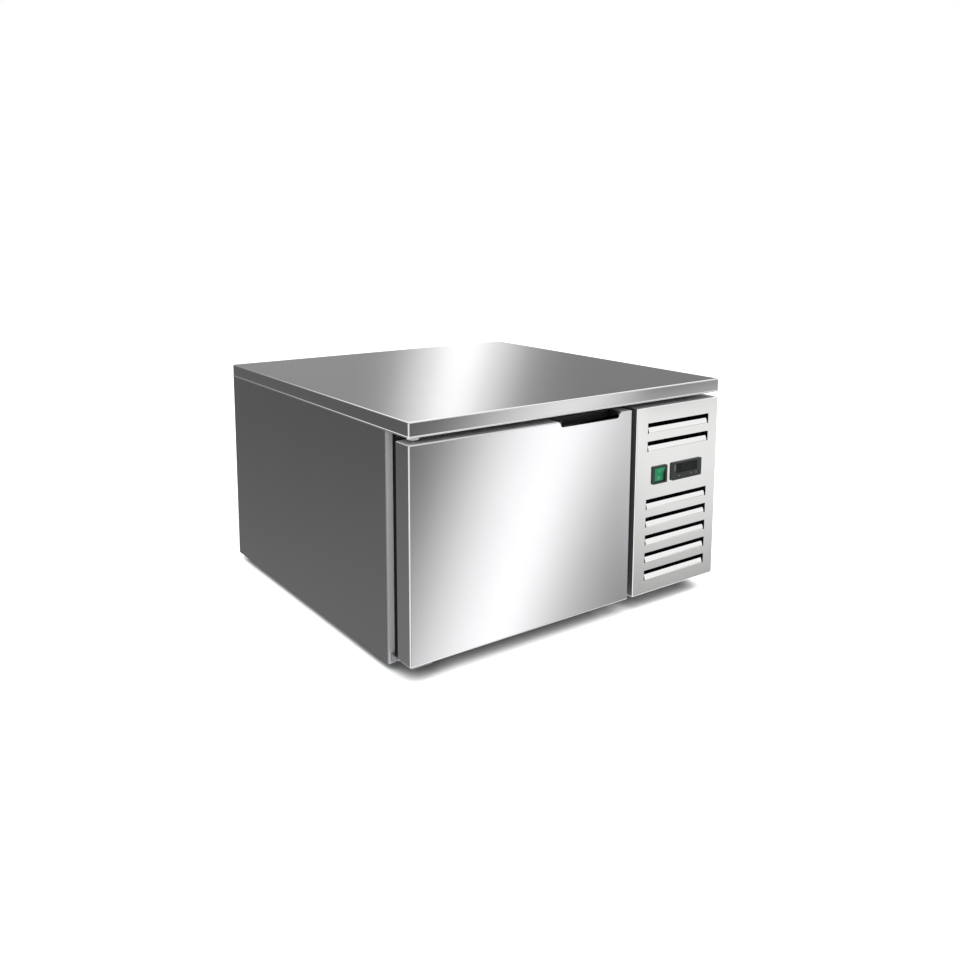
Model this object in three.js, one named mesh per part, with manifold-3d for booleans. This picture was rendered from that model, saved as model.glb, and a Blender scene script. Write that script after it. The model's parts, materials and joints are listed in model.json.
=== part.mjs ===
// Counter-top blast chiller: an insulated chamber behind a hinged door on the left, and a condensing
// unit behind a louvred service panel on the right. Millimetres, +Z up, the door faces -Y.
// Inside the functions x runs from the left side, y back from the door's face and z up from the floor.
import * as THREE from "three";
import { mergeVertices } from "three/addons/utils/BufferGeometryUtils.js";
import Module from "manifold-3d";

// ---- Cabinet ----
const DEPTH = 665;
const BODY_HEIGHT = 363;
const WORKTOP_THICKNESS = 24;
const FOOT_HEIGHT = 10;
const FOOT_RADIUS = 18;
const FOOT_CHAMFER = 2;
const FOOT_INSET = 45;
const CASING_SHEET = 1.2;
const BASE_SHEET = 1.5;
const EDGE_RETURN = 12;
const FRONT_RECESS = 65;
const REAR_RECESS = 18;
const SEAM = 0.3;

// ---- Door ----
const DOOR_WIDTH = 441;
const DOOR_TOP_GAP = 9.5;
const DOOR_BOTTOM_GAP = 19;
const DOOR_SKIN_DEPTH = 36;
const DOOR_LINER_STEP = 14;
const DOOR_LINER_INSET = 13;
const DOOR_LINER_SHEET = 1.2;
const GASKET_INSET = 15;
const GASKET_WIDTH = 20;
const GASKET_GROOVE = 3;
const GRIP_RIGHT_MARGIN = 25.5;
const GRIP_WIDTH = 138;
const GRIP_NOTCH = 10;
const GRIP_TAPER = 5;
const GRIP_CORNER = 6;
const GRIP_DEPTH = 27;
const GRIP_HEIGHT = 32;
const GRIP_WALL = 3;
const GRIP_RIM = 2;

// ---- Hinges ----
const HINGE_INSET = 18;
const HINGE_EDGE = 13;
const HINGE_PIN_RADIUS = 4;
const HINGE_PIN_REACH = 14;
const HINGE_RUNNING_GAP = 0.4;
const HINGE_PLATE_LENGTH = 56;
const HINGE_PLATE_WIDTH = 40;
const HINGE_PLATE_THICKNESS = 4;
const HINGE_BUSH_RADIUS = 9.3;
const HINGE_BUSH_HEIGHT = 5.5;
const BRACKET_SHEET = 3;
const BRACKET_WIDTH = 36;
const BRACKET_HEIGHT = 15;
const BRACKET_DOOR_GAP = 1.5;
const PIN_COLLAR_RADIUS = 7;

// ---- Service panel and controls ----
const PANEL_GAP = 12;
const PANEL_WIDTH = 207;
const PANEL_SHEET = 1.5;
const LOUVRE_LEFT_MARGIN = 27;
const LOUVRE_RIGHT_MARGIN = 25;
const LOUVRE_HEIGHT = 18;
const LOUVRE_FLAP = 9.5;
const LOUVRE_END_SLIT = 3;
const LOUVRE_LEAN = 3;
const LOUVRE_FOOT = 0.5;
const LOUVRE_CLEARANCE = 12;
const UPPER_LOUVRE_DROP = 28;
const LOWER_LOUVRE_DROP = 41;
const LOUVRE_PITCH = 32.2;
const CONTROL_DROP = 122.5;
const CONTROL_PROUD = 3;
const CONTROL_SPACING = 11.5;
const BEZEL_WIDTH = 77;
const BEZEL_HEIGHT = 32;
const BEZEL_CORNER = 2;
const BEZEL_LIP = 3;
const CONTROLLER_DEPTH = 52;
const WINDOW_WIDTH = 54;
const WINDOW_HEIGHT = 16;
const WINDOW_RAISE = 4.5;
const WINDOW_THICKNESS = 1.5;
const BUTTON_WIDTH = 9;
const BUTTON_HEIGHT = 4.5;
const BUTTON_CORNER = 2;
const BUTTON_LENGTH = 4;
const BUTTON_TRAVEL = 0.8;
const BUTTON_SETBACK = 0.5;
const BUTTON_DROP = 9.5;
const BUTTON_PLACES = [-18.5, 13, 25.5];
const SWITCH_MARGIN = 40;
const SWITCH_FRAME_WIDTH = 36;
const SWITCH_SIDE_RIM = 5;
const SWITCH_END_RIM = 3;
const SWITCH_BODY_DEPTH = 26;
const ROCKER_PIVOT_DEPTH = 2.5;
const ROCKER_FACE_DEPTH = 1.2;
const ROCKER_TILT = 9;

// ---- Chamber ----
const FRAME_LAND = 5;
const REAR_INSULATION = 38;
const LINER_SHEET = 1;
const LINER_FLANGE = 12;
const BAY_WINDOW_MARGIN = 20;
const SHELF_LEVELS = 3;
const SHELF_PITCH = 74;
const TOP_SHELF_DROP = 28.5;
const RACK_SHEET = 1.5;
const RACK_POST = 8;
const RACK_POST_WIDTH = 20;
const RACK_LEDGE = 24;
const RACK_FRONT_MARGIN = 15;
const RACK_BACK_MARGIN = 19;
const DRAIN_RADIUS = 8;
const DRAIN_WALL = 2;
const DRAIN_FLANGE_RADIUS = 14;
const DRAIN_REAR_MARGIN = 22;
const DRAIN_FLOOR_GAP = 3;

// ---- Evaporator ----
const COVER_FLANGE = 12;
const COVER_HOLE_RADIUS = 90;
const COVER_SLOT_LENGTH = 40;
const COVER_SLOT_WIDTH = 8;
const COVER_SLOTS = 4;
const COVER_SLOT_MARGIN = 22;
const GUARD_WIRE_RADIUS = 1.6;
const GUARD_OVERLAP = 4;
const GUARD_RINGS = 3;
const GUARD_RING_STEP = 30;
const GUARD_BARS = 3;
const EVAPORATOR_MARGIN = 22;
const EVAPORATOR_REAR_GAP = 12;
const EVAPORATOR_THICKNESS = 46;
const EVAPORATOR_FLOOR_GAP = 22;
const SENSOR_RADIUS = 3;
const SENSOR_LENGTH = 40;
const SENSOR_WALL_GAP = 50;
const SENSOR_CLIP_WIDTH = 12;
const SENSOR_CLIP_HEIGHT = 10;

// ---- Fans ----
const FAN_BLADES = 5;
const FAN_TIP_GAP = 8;
const FAN_PITCH = 32;
const FAN_BLADE_WIDTH = 42;
const FAN_BLADE_SHEET = 1.6;
const FAN_BLADE_ROOT = 3;
const FAN_HUB_RADIUS = 22;
const FAN_THICKNESS = 22;
const FAN_PLATE_GAP = 6;
const MOTOR_RADIUS = 28;
const MOTOR_LENGTH = 38;
const MOTOR_GAP = 0.5;
const MOTOR_COIL_GAP = 30;
const MOTOR_STRAP_WIDTH = 16;
const MOTOR_STRAP_SHEET = 2;
const MOTOR_LEG_MARGIN = 4;

// ---- Condensing unit ----
const TRAY_MARGIN = 8;
const TRAY_SHEET = 2;
const TRAY_LIP = 12;
const TRAY_FRONT_GAP = 11.5;
const TRAY_REAR_GAP = 47.5;
const COIL_TRAY_GAP = 6;
const COIL_TOP_GAP = 41;
const COIL_THICKNESS = 40;
const COIL_SIDE_MARGIN = 16;
const COIL_FIN_GROOVES = 20;
const COIL_FIN_GROOVE = 3.5;
const COIL_FIN_DEPTH = 4;
const COIL_END_PLATE = 1.5;
const COIL_PLATE_MARGIN = 2;
const COIL_BENDS = 4;
const COIL_TUBE_RADIUS = 4.5;
const SHROUD_GAP = 2;
const SHROUD_HOLE_RADIUS = 80;
const COMPRESSOR_GAP = 61;
const COMPRESSOR_RADIUS = 70;
const COMPRESSOR_SHOULDER = 15;
const COMPRESSOR_DOME = 35;
const COMPRESSOR_HEIGHT = 185;
const COMPRESSOR_PLATE_WIDTH = 170;
const COMPRESSOR_PLATE_DEPTH = 150;
const COMPRESSOR_PLATE_SHEET = 3;
const COMPRESSOR_LEG_HEIGHT = 12;
const COMPRESSOR_LEG_RADIUS = 9;
const TERMINAL_COVER_WIDTH = 50;
const TERMINAL_COVER_DEPTH = 24;
const TERMINAL_COVER_HEIGHT = 60;
const TERMINAL_COVER_LIFT = 70;
const RECEIVER_GAP = 12;
const RECEIVER_WALL_GAP = 24.5;
const RECEIVER_RADIUS = 34;
const RECEIVER_DOME = 14;
const RECEIVER_STAND_RADIUS = 27;
const RECEIVER_HEIGHT = 160;
const DRIER_SPACING = 70;
const DRIER_RADIUS = 12;
const DRIER_DOME = 6;
const DRIER_BOTTOM = 90;
const DRIER_HEIGHT = 100;
const TUBE_RADIUS = 4;
const SUCTION_RADIUS = 6;
const SUCTION_LANE = 18;
const SUCTION_BEND = 10;
const TUBE_BEND = 14;
const WALL_PASS_HEIGHT = 110;
const WALL_PASS_SPACING = 36;
const WALL_PASS_MARGIN = 26;
const ELECTRIC_BOX_REAR_GAP = 55.5;
const ELECTRIC_BOX_LENGTH = 150;
const ELECTRIC_BOX_DEPTH = 50;
const ELECTRIC_BOX_HEIGHT = 110;
const ELECTRIC_BOX_TOP_GAP = 20;
const ELECTRIC_BOX_WALL = 2;

// ---- Rear panel ----
const REAR_VENTS = 8;
const REAR_VENT_WIDTH = 150;
const REAR_VENT_HEIGHT = 6;
const REAR_VENT_PITCH = 20;
const REAR_VENT_BOTTOM = 150;
const GLAND_SIDE_MARGIN = 50;
const GLAND_HEIGHT = 60;
const GLAND_RADIUS = 9;
const GLAND_BORE = 4.5;
const GLAND_NUT_RADIUS = 13;
const GLAND_NUT = 5;
const GLAND_DOME = 14;

// ---- Drawing ----
const PAST = 1; // how far a cutter runs past the face it cuts
const ROUND_SIDES = 32;
const SMALL_SIDES = 16;
const TUBE_SIDES = 8;
const TUBE_STEP = 15;
const BEND_SIDES = 6;
const BEND_STEP = 5;
const NUT_SIDES = 6;
const WIRE_SIDES = 5;
const RING_SIDES = 24;
const CURVE_SIDES = 3;
const DOME_STEPS = 4;
const MERGE_TOLERANCE = 1e-4;

// ---- Levels and planes that several pieces share ----
const bodyBottom = FOOT_HEIGHT;
const bodyTop = bodyBottom + BODY_HEIGHT;
const overallTop = bodyTop + WORKTOP_THICKNESS;
const overallWidth = DOOR_WIDTH + PANEL_GAP + PANEL_WIDTH;
const doorBottom = bodyBottom + DOOR_BOTTOM_GAP;
const doorTop = bodyTop - DOOR_TOP_GAP;
const frameBack = FRONT_RECESS + CASING_SHEET;
const insideFront = frameBack + SEAM;
const rearFace = DEPTH - REAR_RECESS;
const insideRear = rearFace - CASING_SHEET - SEAM;
const insideLeft = CASING_SHEET + SEAM;
const insideRight = overallWidth - insideLeft;
const insideBottom = bodyBottom + BASE_SHEET + SEAM;
const topPanelTop = bodyTop - SEAM;
const insideTop = topPanelTop - CASING_SHEET - SEAM;
const sealInset = GASKET_INSET + GASKET_WIDTH + FRAME_LAND;
const chamber = {
  x: [sealInset, DOOR_WIDTH - sealInset],
  y: [insideFront, insideRear - REAR_INSULATION - LINER_SHEET - SEAM],
  z: [doorBottom + sealInset, doorTop - sealInset],
};
const chamberMiddle = [middle(chamber.x), middle(chamber.z)];
const partition = [DOOR_WIDTH + SEAM, DOOR_WIDTH + SEAM + CASING_SHEET];
const bay = { x: [partition[1], insideRight], z: [insideBottom, insideTop] };
const bayMiddle = middle(bay.x);
const glandPlace = [overallWidth - GLAND_SIDE_MARGIN, GLAND_HEIGHT];
const panelLeft = DOOR_WIDTH + PANEL_GAP;
const evaporatorBack = chamber.y[1] - EVAPORATOR_REAR_GAP;
const evaporatorFront = evaporatorBack - EVAPORATOR_THICKNESS;
const fanStack = FAN_PLATE_GAP + FAN_THICKNESS + MOTOR_GAP + MOTOR_LENGTH;
const coverBack = evaporatorFront - MOTOR_COIL_GAP - fanStack;
const coverFront = coverBack - CASING_SHEET;
const trayTop = insideBottom + TRAY_SHEET;
const unitFloor = trayTop + SEAM;
const trayY = [insideFront + TRAY_FRONT_GAP, insideRear - TRAY_REAR_GAP];
const coilFront = trayY[0] + COIL_TRAY_GAP;
const coilBack = coilFront + COIL_THICKNESS;
const coilTop = bay.z[1] - COIL_TOP_GAP;
const shroudY = [coilBack + SHROUD_GAP, coilBack + SHROUD_GAP + CASING_SHEET];
const condenserFanCentre = [bayMiddle, middle([unitFloor, coilTop])];
const compressorBack = shroudY[1] + fanStack + COMPRESSOR_GAP + COMPRESSOR_PLATE_DEPTH / 2;
const terminalY = [
  compressorBack + COMPRESSOR_RADIUS + SEAM,
  compressorBack + COMPRESSOR_RADIUS + SEAM + TERMINAL_COVER_DEPTH,
];
const receiverPlace = [
  bay.x[1] - RECEIVER_WALL_GAP - RECEIVER_RADIUS,
  terminalY[1] + RECEIVER_GAP + RECEIVER_RADIUS,
];
const drierSide = receiverPlace[0] - DRIER_SPACING;
const passBack = chamber.y[1] - WALL_PASS_MARGIN;
const suctionPass = WALL_PASS_HEIGHT + WALL_PASS_SPACING;

// ---- Materials, one colour family each ----
const STAINLESS = { color: 0xc4c6c8, roughness: 0.32, metalness: 1 };
const GALVANISED = { color: 0xa9adb0, roughness: 0.5, metalness: 1 };
const ALUMINIUM = { color: 0xc9ccce, roughness: 0.4, metalness: 1 };
const COPPER = { color: 0xb87650, roughness: 0.35, metalness: 1 };
const FOAM = { color: 0xe6dcae, roughness: 0.95, metalness: 0 };
const BLACK_PLASTIC = { color: 0x1b1c1d, roughness: 0.45, metalness: 0 };
const BLACK_RUBBER = { color: 0x161616, roughness: 0.8, metalness: 0 };
const WHITE_NYLON = { color: 0xf0f1f2, roughness: 0.4, metalness: 0 };
const GREY_PLASTIC = { color: 0x8b8f92, roughness: 0.55, metalness: 0 };
const BLACK_ENAMEL = { color: 0x202224, roughness: 0.4, metalness: 0.2 };
const DARK_LENS = { color: 0x0c1110, roughness: 0.12, metalness: 0 };
const GREEN_LENS = { color: 0x11905a, roughness: 0.25, metalness: 0 };

// ---- Solids ----
const wasm = await Module();
wasm.setup();

function middle([low, high]) {
  return (low + high) / 2;
}

function shrunk([low, high], by) {
  return [low + by, high - by];
}

function around(centre, size) {
  return [centre - size / 2, centre + size / 2];
}

function solidOf(geometry) {
  const bare = geometry.clone();
  bare.deleteAttribute("normal");
  bare.deleteAttribute("uv");
  const merged = mergeVertices(bare, MERGE_TOLERANCE);
  const vertProperties = merged.attributes.position.array;
  const triVerts = new Uint32Array(merged.index.array);
  return new wasm.Manifold(new wasm.Mesh({ numProp: 3, vertProperties, triVerts }));
}

function geometryOf(solid) {
  const mesh = solid.getMesh();
  const geometry = new THREE.BufferGeometry();
  geometry.setAttribute("position", new THREE.BufferAttribute(mesh.vertProperties, 3));
  geometry.setIndex(new THREE.BufferAttribute(mesh.triVerts, 1));
  const flat = geometry.toNonIndexed();
  flat.computeVertexNormals();
  return flat;
}

function joined(solids) {
  return solids.reduce((whole, solid) => whole.add(solid));
}

function cutFrom(solid, cutters) {
  return cutters.reduce((rest, cutter) => rest.subtract(cutter), solid);
}

// A box from its limits along x, y and z.
function block([x0, x1], [y0, y1], [z0, z1]) {
  const geometry = new THREE.BoxGeometry(x1 - x0, y1 - y0, z1 - z0);
  geometry.translate((x0 + x1) / 2, (y0 + y1) / 2, (z0 + z1) / 2);
  return solidOf(geometry);
}

// A round bar along one axis; centre holds its two other coordinates, in x, y, z order.
function rod(radius, [low, high], axis, [a, b], sides = ROUND_SIDES) {
  const geometry = new THREE.CylinderGeometry(radius, radius, high - low, sides);
  const along = (low + high) / 2;
  if (axis === "x") geometry.rotateZ(-Math.PI / 2).translate(along, a, b);
  if (axis === "y") geometry.translate(a, along, b);
  if (axis === "z") geometry.rotateX(Math.PI / 2).translate(a, b, along);
  return solidOf(geometry);
}

// An outline drawn in the plane across the axis (its u and v are the other two axes), between two limits.
function prism(outline, [low, high], axis) {
  const geometry = new THREE.ExtrudeGeometry(outline, {
    depth: high - low,
    bevelEnabled: false,
    curveSegments: CURVE_SIDES,
  });
  const x = new THREE.Vector3(1, 0, 0);
  const y = new THREE.Vector3(0, 1, 0);
  const z = new THREE.Vector3(0, 0, 1);
  const turn = new THREE.Matrix4();
  if (axis === "x") turn.makeBasis(y, z, x).setPosition(low, 0, 0);
  if (axis === "y") turn.makeBasis(x, z, y.negate()).setPosition(0, high, 0);
  if (axis === "z") turn.setPosition(0, 0, low);
  return solidOf(geometry.applyMatrix4(turn));
}

function polygon(points) {
  return new THREE.Shape(points.map(([u, v]) => new THREE.Vector2(u, v)));
}

function roundedRectangle([u0, u1], [v0, v1], radius) {
  const quarter = Math.PI / 2;
  const outline = new THREE.Shape();
  outline.absarc(u1 - radius, v0 + radius, radius, -quarter, 0);
  outline.absarc(u1 - radius, v1 - radius, radius, 0, quarter);
  outline.absarc(u0 + radius, v1 - radius, radius, quarter, 2 * quarter);
  outline.absarc(u0 + radius, v0 + radius, radius, 2 * quarter, 3 * quarter);
  return outline;
}

// A turned piece on the z axis from [radius, height] points that start and end on the axis, going up.
function turned(profile, sides = ROUND_SIDES) {
  const points = profile.map(([radius, height]) => new THREE.Vector2(radius, height));
  const geometry = new THREE.LatheGeometry(points, sides);
  geometry.rotateX(Math.PI / 2);
  return solidOf(geometry);
}

// The profile of a domed end from the axis out to the rim, rising where rise is above zero.
function dome(radius, rise, rimHeight) {
  const points = [];
  for (let i = 0; i <= DOME_STEPS; i++) {
    const angle = (i * Math.PI) / (2 * DOME_STEPS);
    points.push([radius * Math.sin(angle), rimHeight + rise * Math.cos(angle)]);
  }
  points[0][0] = 0;
  return points;
}

// A bent tube through corner points, with the corners rounded off.
function tube(corners, radius, bend = TUBE_BEND, step = TUBE_STEP, sides = TUBE_SIDES) {
  const points = corners.map((corner) => new THREE.Vector3(...corner));
  const path = new THREE.CurvePath();
  let from = points[0];
  for (let i = 1; i < points.length - 1; i++) {
    const corner = points[i];
    const back = points[i - 1].clone().sub(corner).setLength(bend);
    const on = points[i + 1].clone().sub(corner).setLength(bend);
    const start = corner.clone().add(back);
    const end = corner.clone().add(on);
    path.add(new THREE.LineCurve3(from, start));
    path.add(new THREE.QuadraticBezierCurve3(start, corner, end));
    from = end;
  }
  path.add(new THREE.LineCurve3(from, points[points.length - 1]));
  const circle = [];
  for (let i = 0; i < sides; i++) {
    const angle = (i * 2 * Math.PI) / sides;
    circle.push([radius * Math.cos(angle), radius * Math.sin(angle)]);
  }
  const geometry = new THREE.ExtrudeGeometry(polygon(circle), {
    steps: Math.ceil(path.getLength() / step),
    bevelEnabled: false,
    extrudePath: path,
  });
  return solidOf(geometry);
}

// An open tray: a box hollowed from one side, with walls of one sheet thickness.
function shell(x, y, z, sheet, openSide) {
  const inner = { x: shrunk(x, sheet), y: shrunk(y, sheet), z: shrunk(z, sheet) };
  if (openSide === "back") inner.y[1] = y[1] + PAST;
  if (openSide === "front") inner.y[0] = y[0] - PAST;
  if (openSide === "bottom") inner.z[0] = z[0] - PAST;
  if (openSide === "right") inner.x[1] = x[1] + PAST;
  return block(x, y, z).subtract(block(inner.x, inner.y, inner.z));
}

// ---- Scene graph ----
const blastChiller = new THREE.Group();
blastChiller.position.set(-overallWidth / 2, (CONTROL_PROUD - DEPTH) / 2, 0);

function place(name, solid, look, parent = blastChiller, [x, y, z] = [0, 0, 0]) {
  const mesh = new THREE.Mesh(geometryOf(solid), new THREE.MeshStandardMaterial(look));
  mesh.name = name;
  mesh.position.set(x, y, z);
  parent.add(mesh);
}

function groupAt(x, y, z) {
  const group = new THREE.Group();
  group.position.set(x, y, z);
  blastChiller.add(group);
  return group;
}

// ---- Worktop ----
function worktopSkin() {
  return shell([0, overallWidth], [0, DEPTH], [bodyTop, overallTop], CASING_SHEET, "bottom");
}

const hingeEdge = HINGE_INSET - HINGE_EDGE;
const hingePlate = {
  x: [hingeEdge, hingeEdge + HINGE_PLATE_LENGTH],
  y: [hingeEdge, hingeEdge + HINGE_PLATE_WIDTH],
  z: [bodyTop, bodyTop + HINGE_PLATE_THICKNESS],
};

function worktopCore() {
  const gap = CASING_SHEET + SEAM;
  const board = block(
    shrunk([0, overallWidth], gap),
    shrunk([0, DEPTH], gap),
    [bodyTop, overallTop - gap],
  );
  const pocket = block(
    shrunk(hingePlate.x, -SEAM),
    shrunk(hingePlate.y, -SEAM),
    [bodyTop - PAST, hingePlate.z[1] + SEAM],
  );
  return board.subtract(pocket);
}

// ---- Casing ----
// A side sheet folded inwards along its front and rear edges; its plan view is drawn for the left side.
function sidePanel(handed) {
  const inner = [FRONT_RECESS + CASING_SHEET, DEPTH - CASING_SHEET];
  const plan = [
    [0, FRONT_RECESS],
    [EDGE_RETURN, FRONT_RECESS],
    [EDGE_RETURN, inner[0]],
    [CASING_SHEET, inner[0]],
    [CASING_SHEET, inner[1]],
    [EDGE_RETURN, inner[1]],
    [EDGE_RETURN, DEPTH],
    [0, DEPTH],
  ];
  return prism(polygon(plan.map(([x, y]) => [handed(x), y])), [bodyBottom, topPanelTop], "z");
}

function basePanel() {
  const sheet = block([insideLeft, insideRight], [insideFront, insideRear], [
    bodyBottom,
    bodyBottom + BASE_SHEET,
  ]);
  return sheet.subtract(drainBore([bodyBottom - PAST, insideBottom + PAST]));
}

function topPanel() {
  return block([insideLeft, insideRight], [insideFront, insideRear], [
    topPanelTop - CASING_SHEET,
    topPanelTop,
  ]);
}

function rearPanel() {
  const sheet = block([insideLeft, insideRight], [rearFace - CASING_SHEET, rearFace], [
    bodyBottom,
    topPanelTop,
  ]);
  const through = [rearFace - CASING_SHEET - PAST, rearFace + PAST];
  const cuts = [
    rod(GLAND_RADIUS + SEAM, through, "y", glandPlace, SMALL_SIDES),
  ];
  for (let i = 0; i < REAR_VENTS; i++) {
    const bottom = REAR_VENT_BOTTOM + i * REAR_VENT_PITCH;
    cuts.push(block(around(bayMiddle, REAR_VENT_WIDTH), through, [bottom, bottom + REAR_VENT_HEIGHT]));
  }
  return cutFrom(sheet, cuts);
}

function frontFrame() {
  const z = [bodyBottom, topPanelTop];
  const sheet = block([EDGE_RETURN + SEAM, overallWidth - EDGE_RETURN - SEAM], [FRONT_RECESS, frameBack], z);
  const through = [FRONT_RECESS - PAST, frameBack + PAST];
  const room = LINER_FLANGE + SEAM;
  return cutFrom(sheet, [
    block(shrunk(chamber.x, -room), through, shrunk(chamber.z, -room)),
    block(shrunk([panelLeft, overallWidth], BAY_WINDOW_MARGIN), through, shrunk(z, BAY_WINDOW_MARGIN)),
  ]);
}

function partitionPanel() {
  const sheet = block(partition, [insideFront, insideRear], bay.z);
  return cutFrom(sheet, tubePasses([partition[0] - PAST, partition[1] + PAST]));
}

function foot() {
  const height = FOOT_HEIGHT - SEAM;
  return turned([
    [0, 0],
    [FOOT_RADIUS - FOOT_CHAMFER, 0],
    [FOOT_RADIUS, FOOT_CHAMFER],
    [FOOT_RADIUS, height],
    [0, height],
  ]);
}

// ---- Insulated chamber ----
const drainPlace = [middle(chamber.x), chamber.y[1] - DRAIN_REAR_MARGIN];

function drainBore(z) {
  return rod(DRAIN_RADIUS + SEAM, z, "z", drainPlace, SMALL_SIDES);
}

function tubePasses(x) {
  return [
    rod(TUBE_RADIUS + SEAM, x, "x", [passBack, WALL_PASS_HEIGHT], SMALL_SIDES),
    rod(SUCTION_RADIUS + SEAM, x, "x", [passBack, suctionPass], SMALL_SIDES),
  ];
}

function chamberLiner() {
  const outer = block(
    shrunk(chamber.x, -LINER_SHEET),
    [FRONT_RECESS, chamber.y[1] + LINER_SHEET],
    shrunk(chamber.z, -LINER_SHEET),
  );
  const flange = block(
    shrunk(chamber.x, -LINER_FLANGE),
    [FRONT_RECESS, frameBack],
    shrunk(chamber.z, -LINER_FLANGE),
  );
  const hollow = block(chamber.x, [FRONT_RECESS - PAST, chamber.y[1]], chamber.z);
  return cutFrom(outer.add(flange), [
    hollow,
    drainBore([chamber.z[0] - LINER_SHEET - PAST, chamber.z[0] + PAST]),
    ...tubePasses([chamber.x[1] - PAST, chamber.x[1] + LINER_SHEET + PAST]),
  ]);
}

function cabinetInsulation() {
  const skin = LINER_SHEET + SEAM;
  const whole = block([insideLeft, DOOR_WIDTH], [insideFront, insideRear], bay.z);
  const cavity = block(
    shrunk(chamber.x, -skin),
    [insideFront - PAST, chamber.y[1] + skin],
    shrunk(chamber.z, -skin),
  );
  return cutFrom(whole, [
    cavity,
    drainBore([insideBottom - PAST, chamber.z[0]]),
    ...tubePasses([chamber.x[1], DOOR_WIDTH + PAST]),
  ]);
}

function drainTube() {
  const bottom = DRAIN_FLOOR_GAP;
  const top = chamber.z[0] + SEAM;
  const flangeTop = top + LINER_SHEET;
  const body = turned(
    [
      [0, bottom],
      [DRAIN_RADIUS, bottom],
      [DRAIN_RADIUS, top],
      [DRAIN_FLANGE_RADIUS, top],
      [DRAIN_FLANGE_RADIUS, flangeTop],
      [0, flangeTop],
    ],
    SMALL_SIDES,
  );
  const bore = [bottom - PAST, flangeTop + PAST];
  return body.subtract(rod(DRAIN_RADIUS - DRAIN_WALL, bore, "z", [0, 0], SMALL_SIDES));
}

// A ladder of two posts and one ledge for each shelf level, on one chamber wall.
function panRack(wall, inward) {
  const reach = (depth) => [wall + inward * SEAM, wall + inward * depth].sort((a, b) => a - b);
  const front = chamber.y[0] + RACK_FRONT_MARGIN;
  const back = coverFront - RACK_BACK_MARGIN;
  const topLedge = chamber.z[1] - TOP_SHELF_DROP;
  const z = [chamber.z[0] + SEAM, topLedge];
  const pieces = [
    block(reach(RACK_POST), [front, front + RACK_POST_WIDTH], z),
    block(reach(RACK_POST), [back - RACK_POST_WIDTH, back], z),
  ];
  for (let level = 0; level < SHELF_LEVELS; level++) {
    const top = topLedge - level * SHELF_PITCH;
    pieces.push(block(reach(RACK_LEDGE), [front, back], [top - RACK_SHEET, top]));
  }
  return joined(pieces);
}

// ---- Evaporator behind its cover ----
function evaporatorCover() {
  const x = shrunk(chamber.x, SEAM);
  const z = shrunk(chamber.z, SEAM);
  const y = [coverFront, coverBack];
  const flangeY = [coverFront, coverFront + COVER_FLANGE];
  const sheet = joined([
    block(x, y, z),
    block(x, flangeY, [z[0], z[0] + CASING_SHEET]),
    block(x, flangeY, [z[1] - CASING_SHEET, z[1]]),
  ]);
  const through = [y[0] - PAST, y[1] + PAST];
  const cuts = [rod(COVER_HOLE_RADIUS, through, "y", chamberMiddle)];
  const pitch = (z[1] - z[0]) / COVER_SLOTS;
  for (const side of [x[0] + COVER_SLOT_MARGIN, x[1] - COVER_SLOT_MARGIN]) {
    for (let i = 0; i < COVER_SLOTS; i++) {
      const height = z[0] + pitch * (i + 0.5);
      cuts.push(block(around(side, COVER_SLOT_WIDTH), through, around(height, COVER_SLOT_LENGTH)));
    }
  }
  return cutFrom(sheet, cuts);
}

// A wire guard centred on the origin, facing -y: rings joined by straight bars.
function fanGuard() {
  const largest = COVER_HOLE_RADIUS + GUARD_OVERLAP;
  const wires = [];
  for (let i = 0; i < GUARD_RINGS; i++) {
    const radius = largest - i * GUARD_RING_STEP;
    const ring = new THREE.TorusGeometry(radius, GUARD_WIRE_RADIUS, WIRE_SIDES, RING_SIDES);
    wires.push(solidOf(ring.rotateX(Math.PI / 2)));
  }
  for (let i = 0; i < GUARD_BARS; i++) {
    const bar = new THREE.CylinderGeometry(GUARD_WIRE_RADIUS, GUARD_WIRE_RADIUS, 2 * largest, WIRE_SIDES);
    bar.rotateZ(Math.PI / 2).rotateY(((i + 0.5) * Math.PI) / GUARD_BARS);
    wires.push(solidOf(bar));
  }
  return joined(wires);
}

// An axial fan for a round hole, centred on the origin with its shaft along y.
function fanBlade(holeRadius) {
  const radius = holeRadius - FAN_TIP_GAP;
  const limits = around(0, FAN_THICKNESS);
  const blades = [];
  for (let i = 0; i < FAN_BLADES; i++) {
    const length = radius - FAN_HUB_RADIUS + FAN_BLADE_ROOT;
    const blade = new THREE.BoxGeometry(length, FAN_BLADE_SHEET, FAN_BLADE_WIDTH);
    blade.rotateX(THREE.MathUtils.degToRad(FAN_PITCH));
    blade.translate(radius - length / 2, 0, 0);
    blade.rotateY((i * 2 * Math.PI) / FAN_BLADES);
    blades.push(solidOf(blade));
  }
  const disc = rod(radius, limits, "y", [0, 0]);
  return joined(blades).add(rod(FAN_HUB_RADIUS, limits, "y", [0, 0])).intersect(disc);
}

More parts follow.
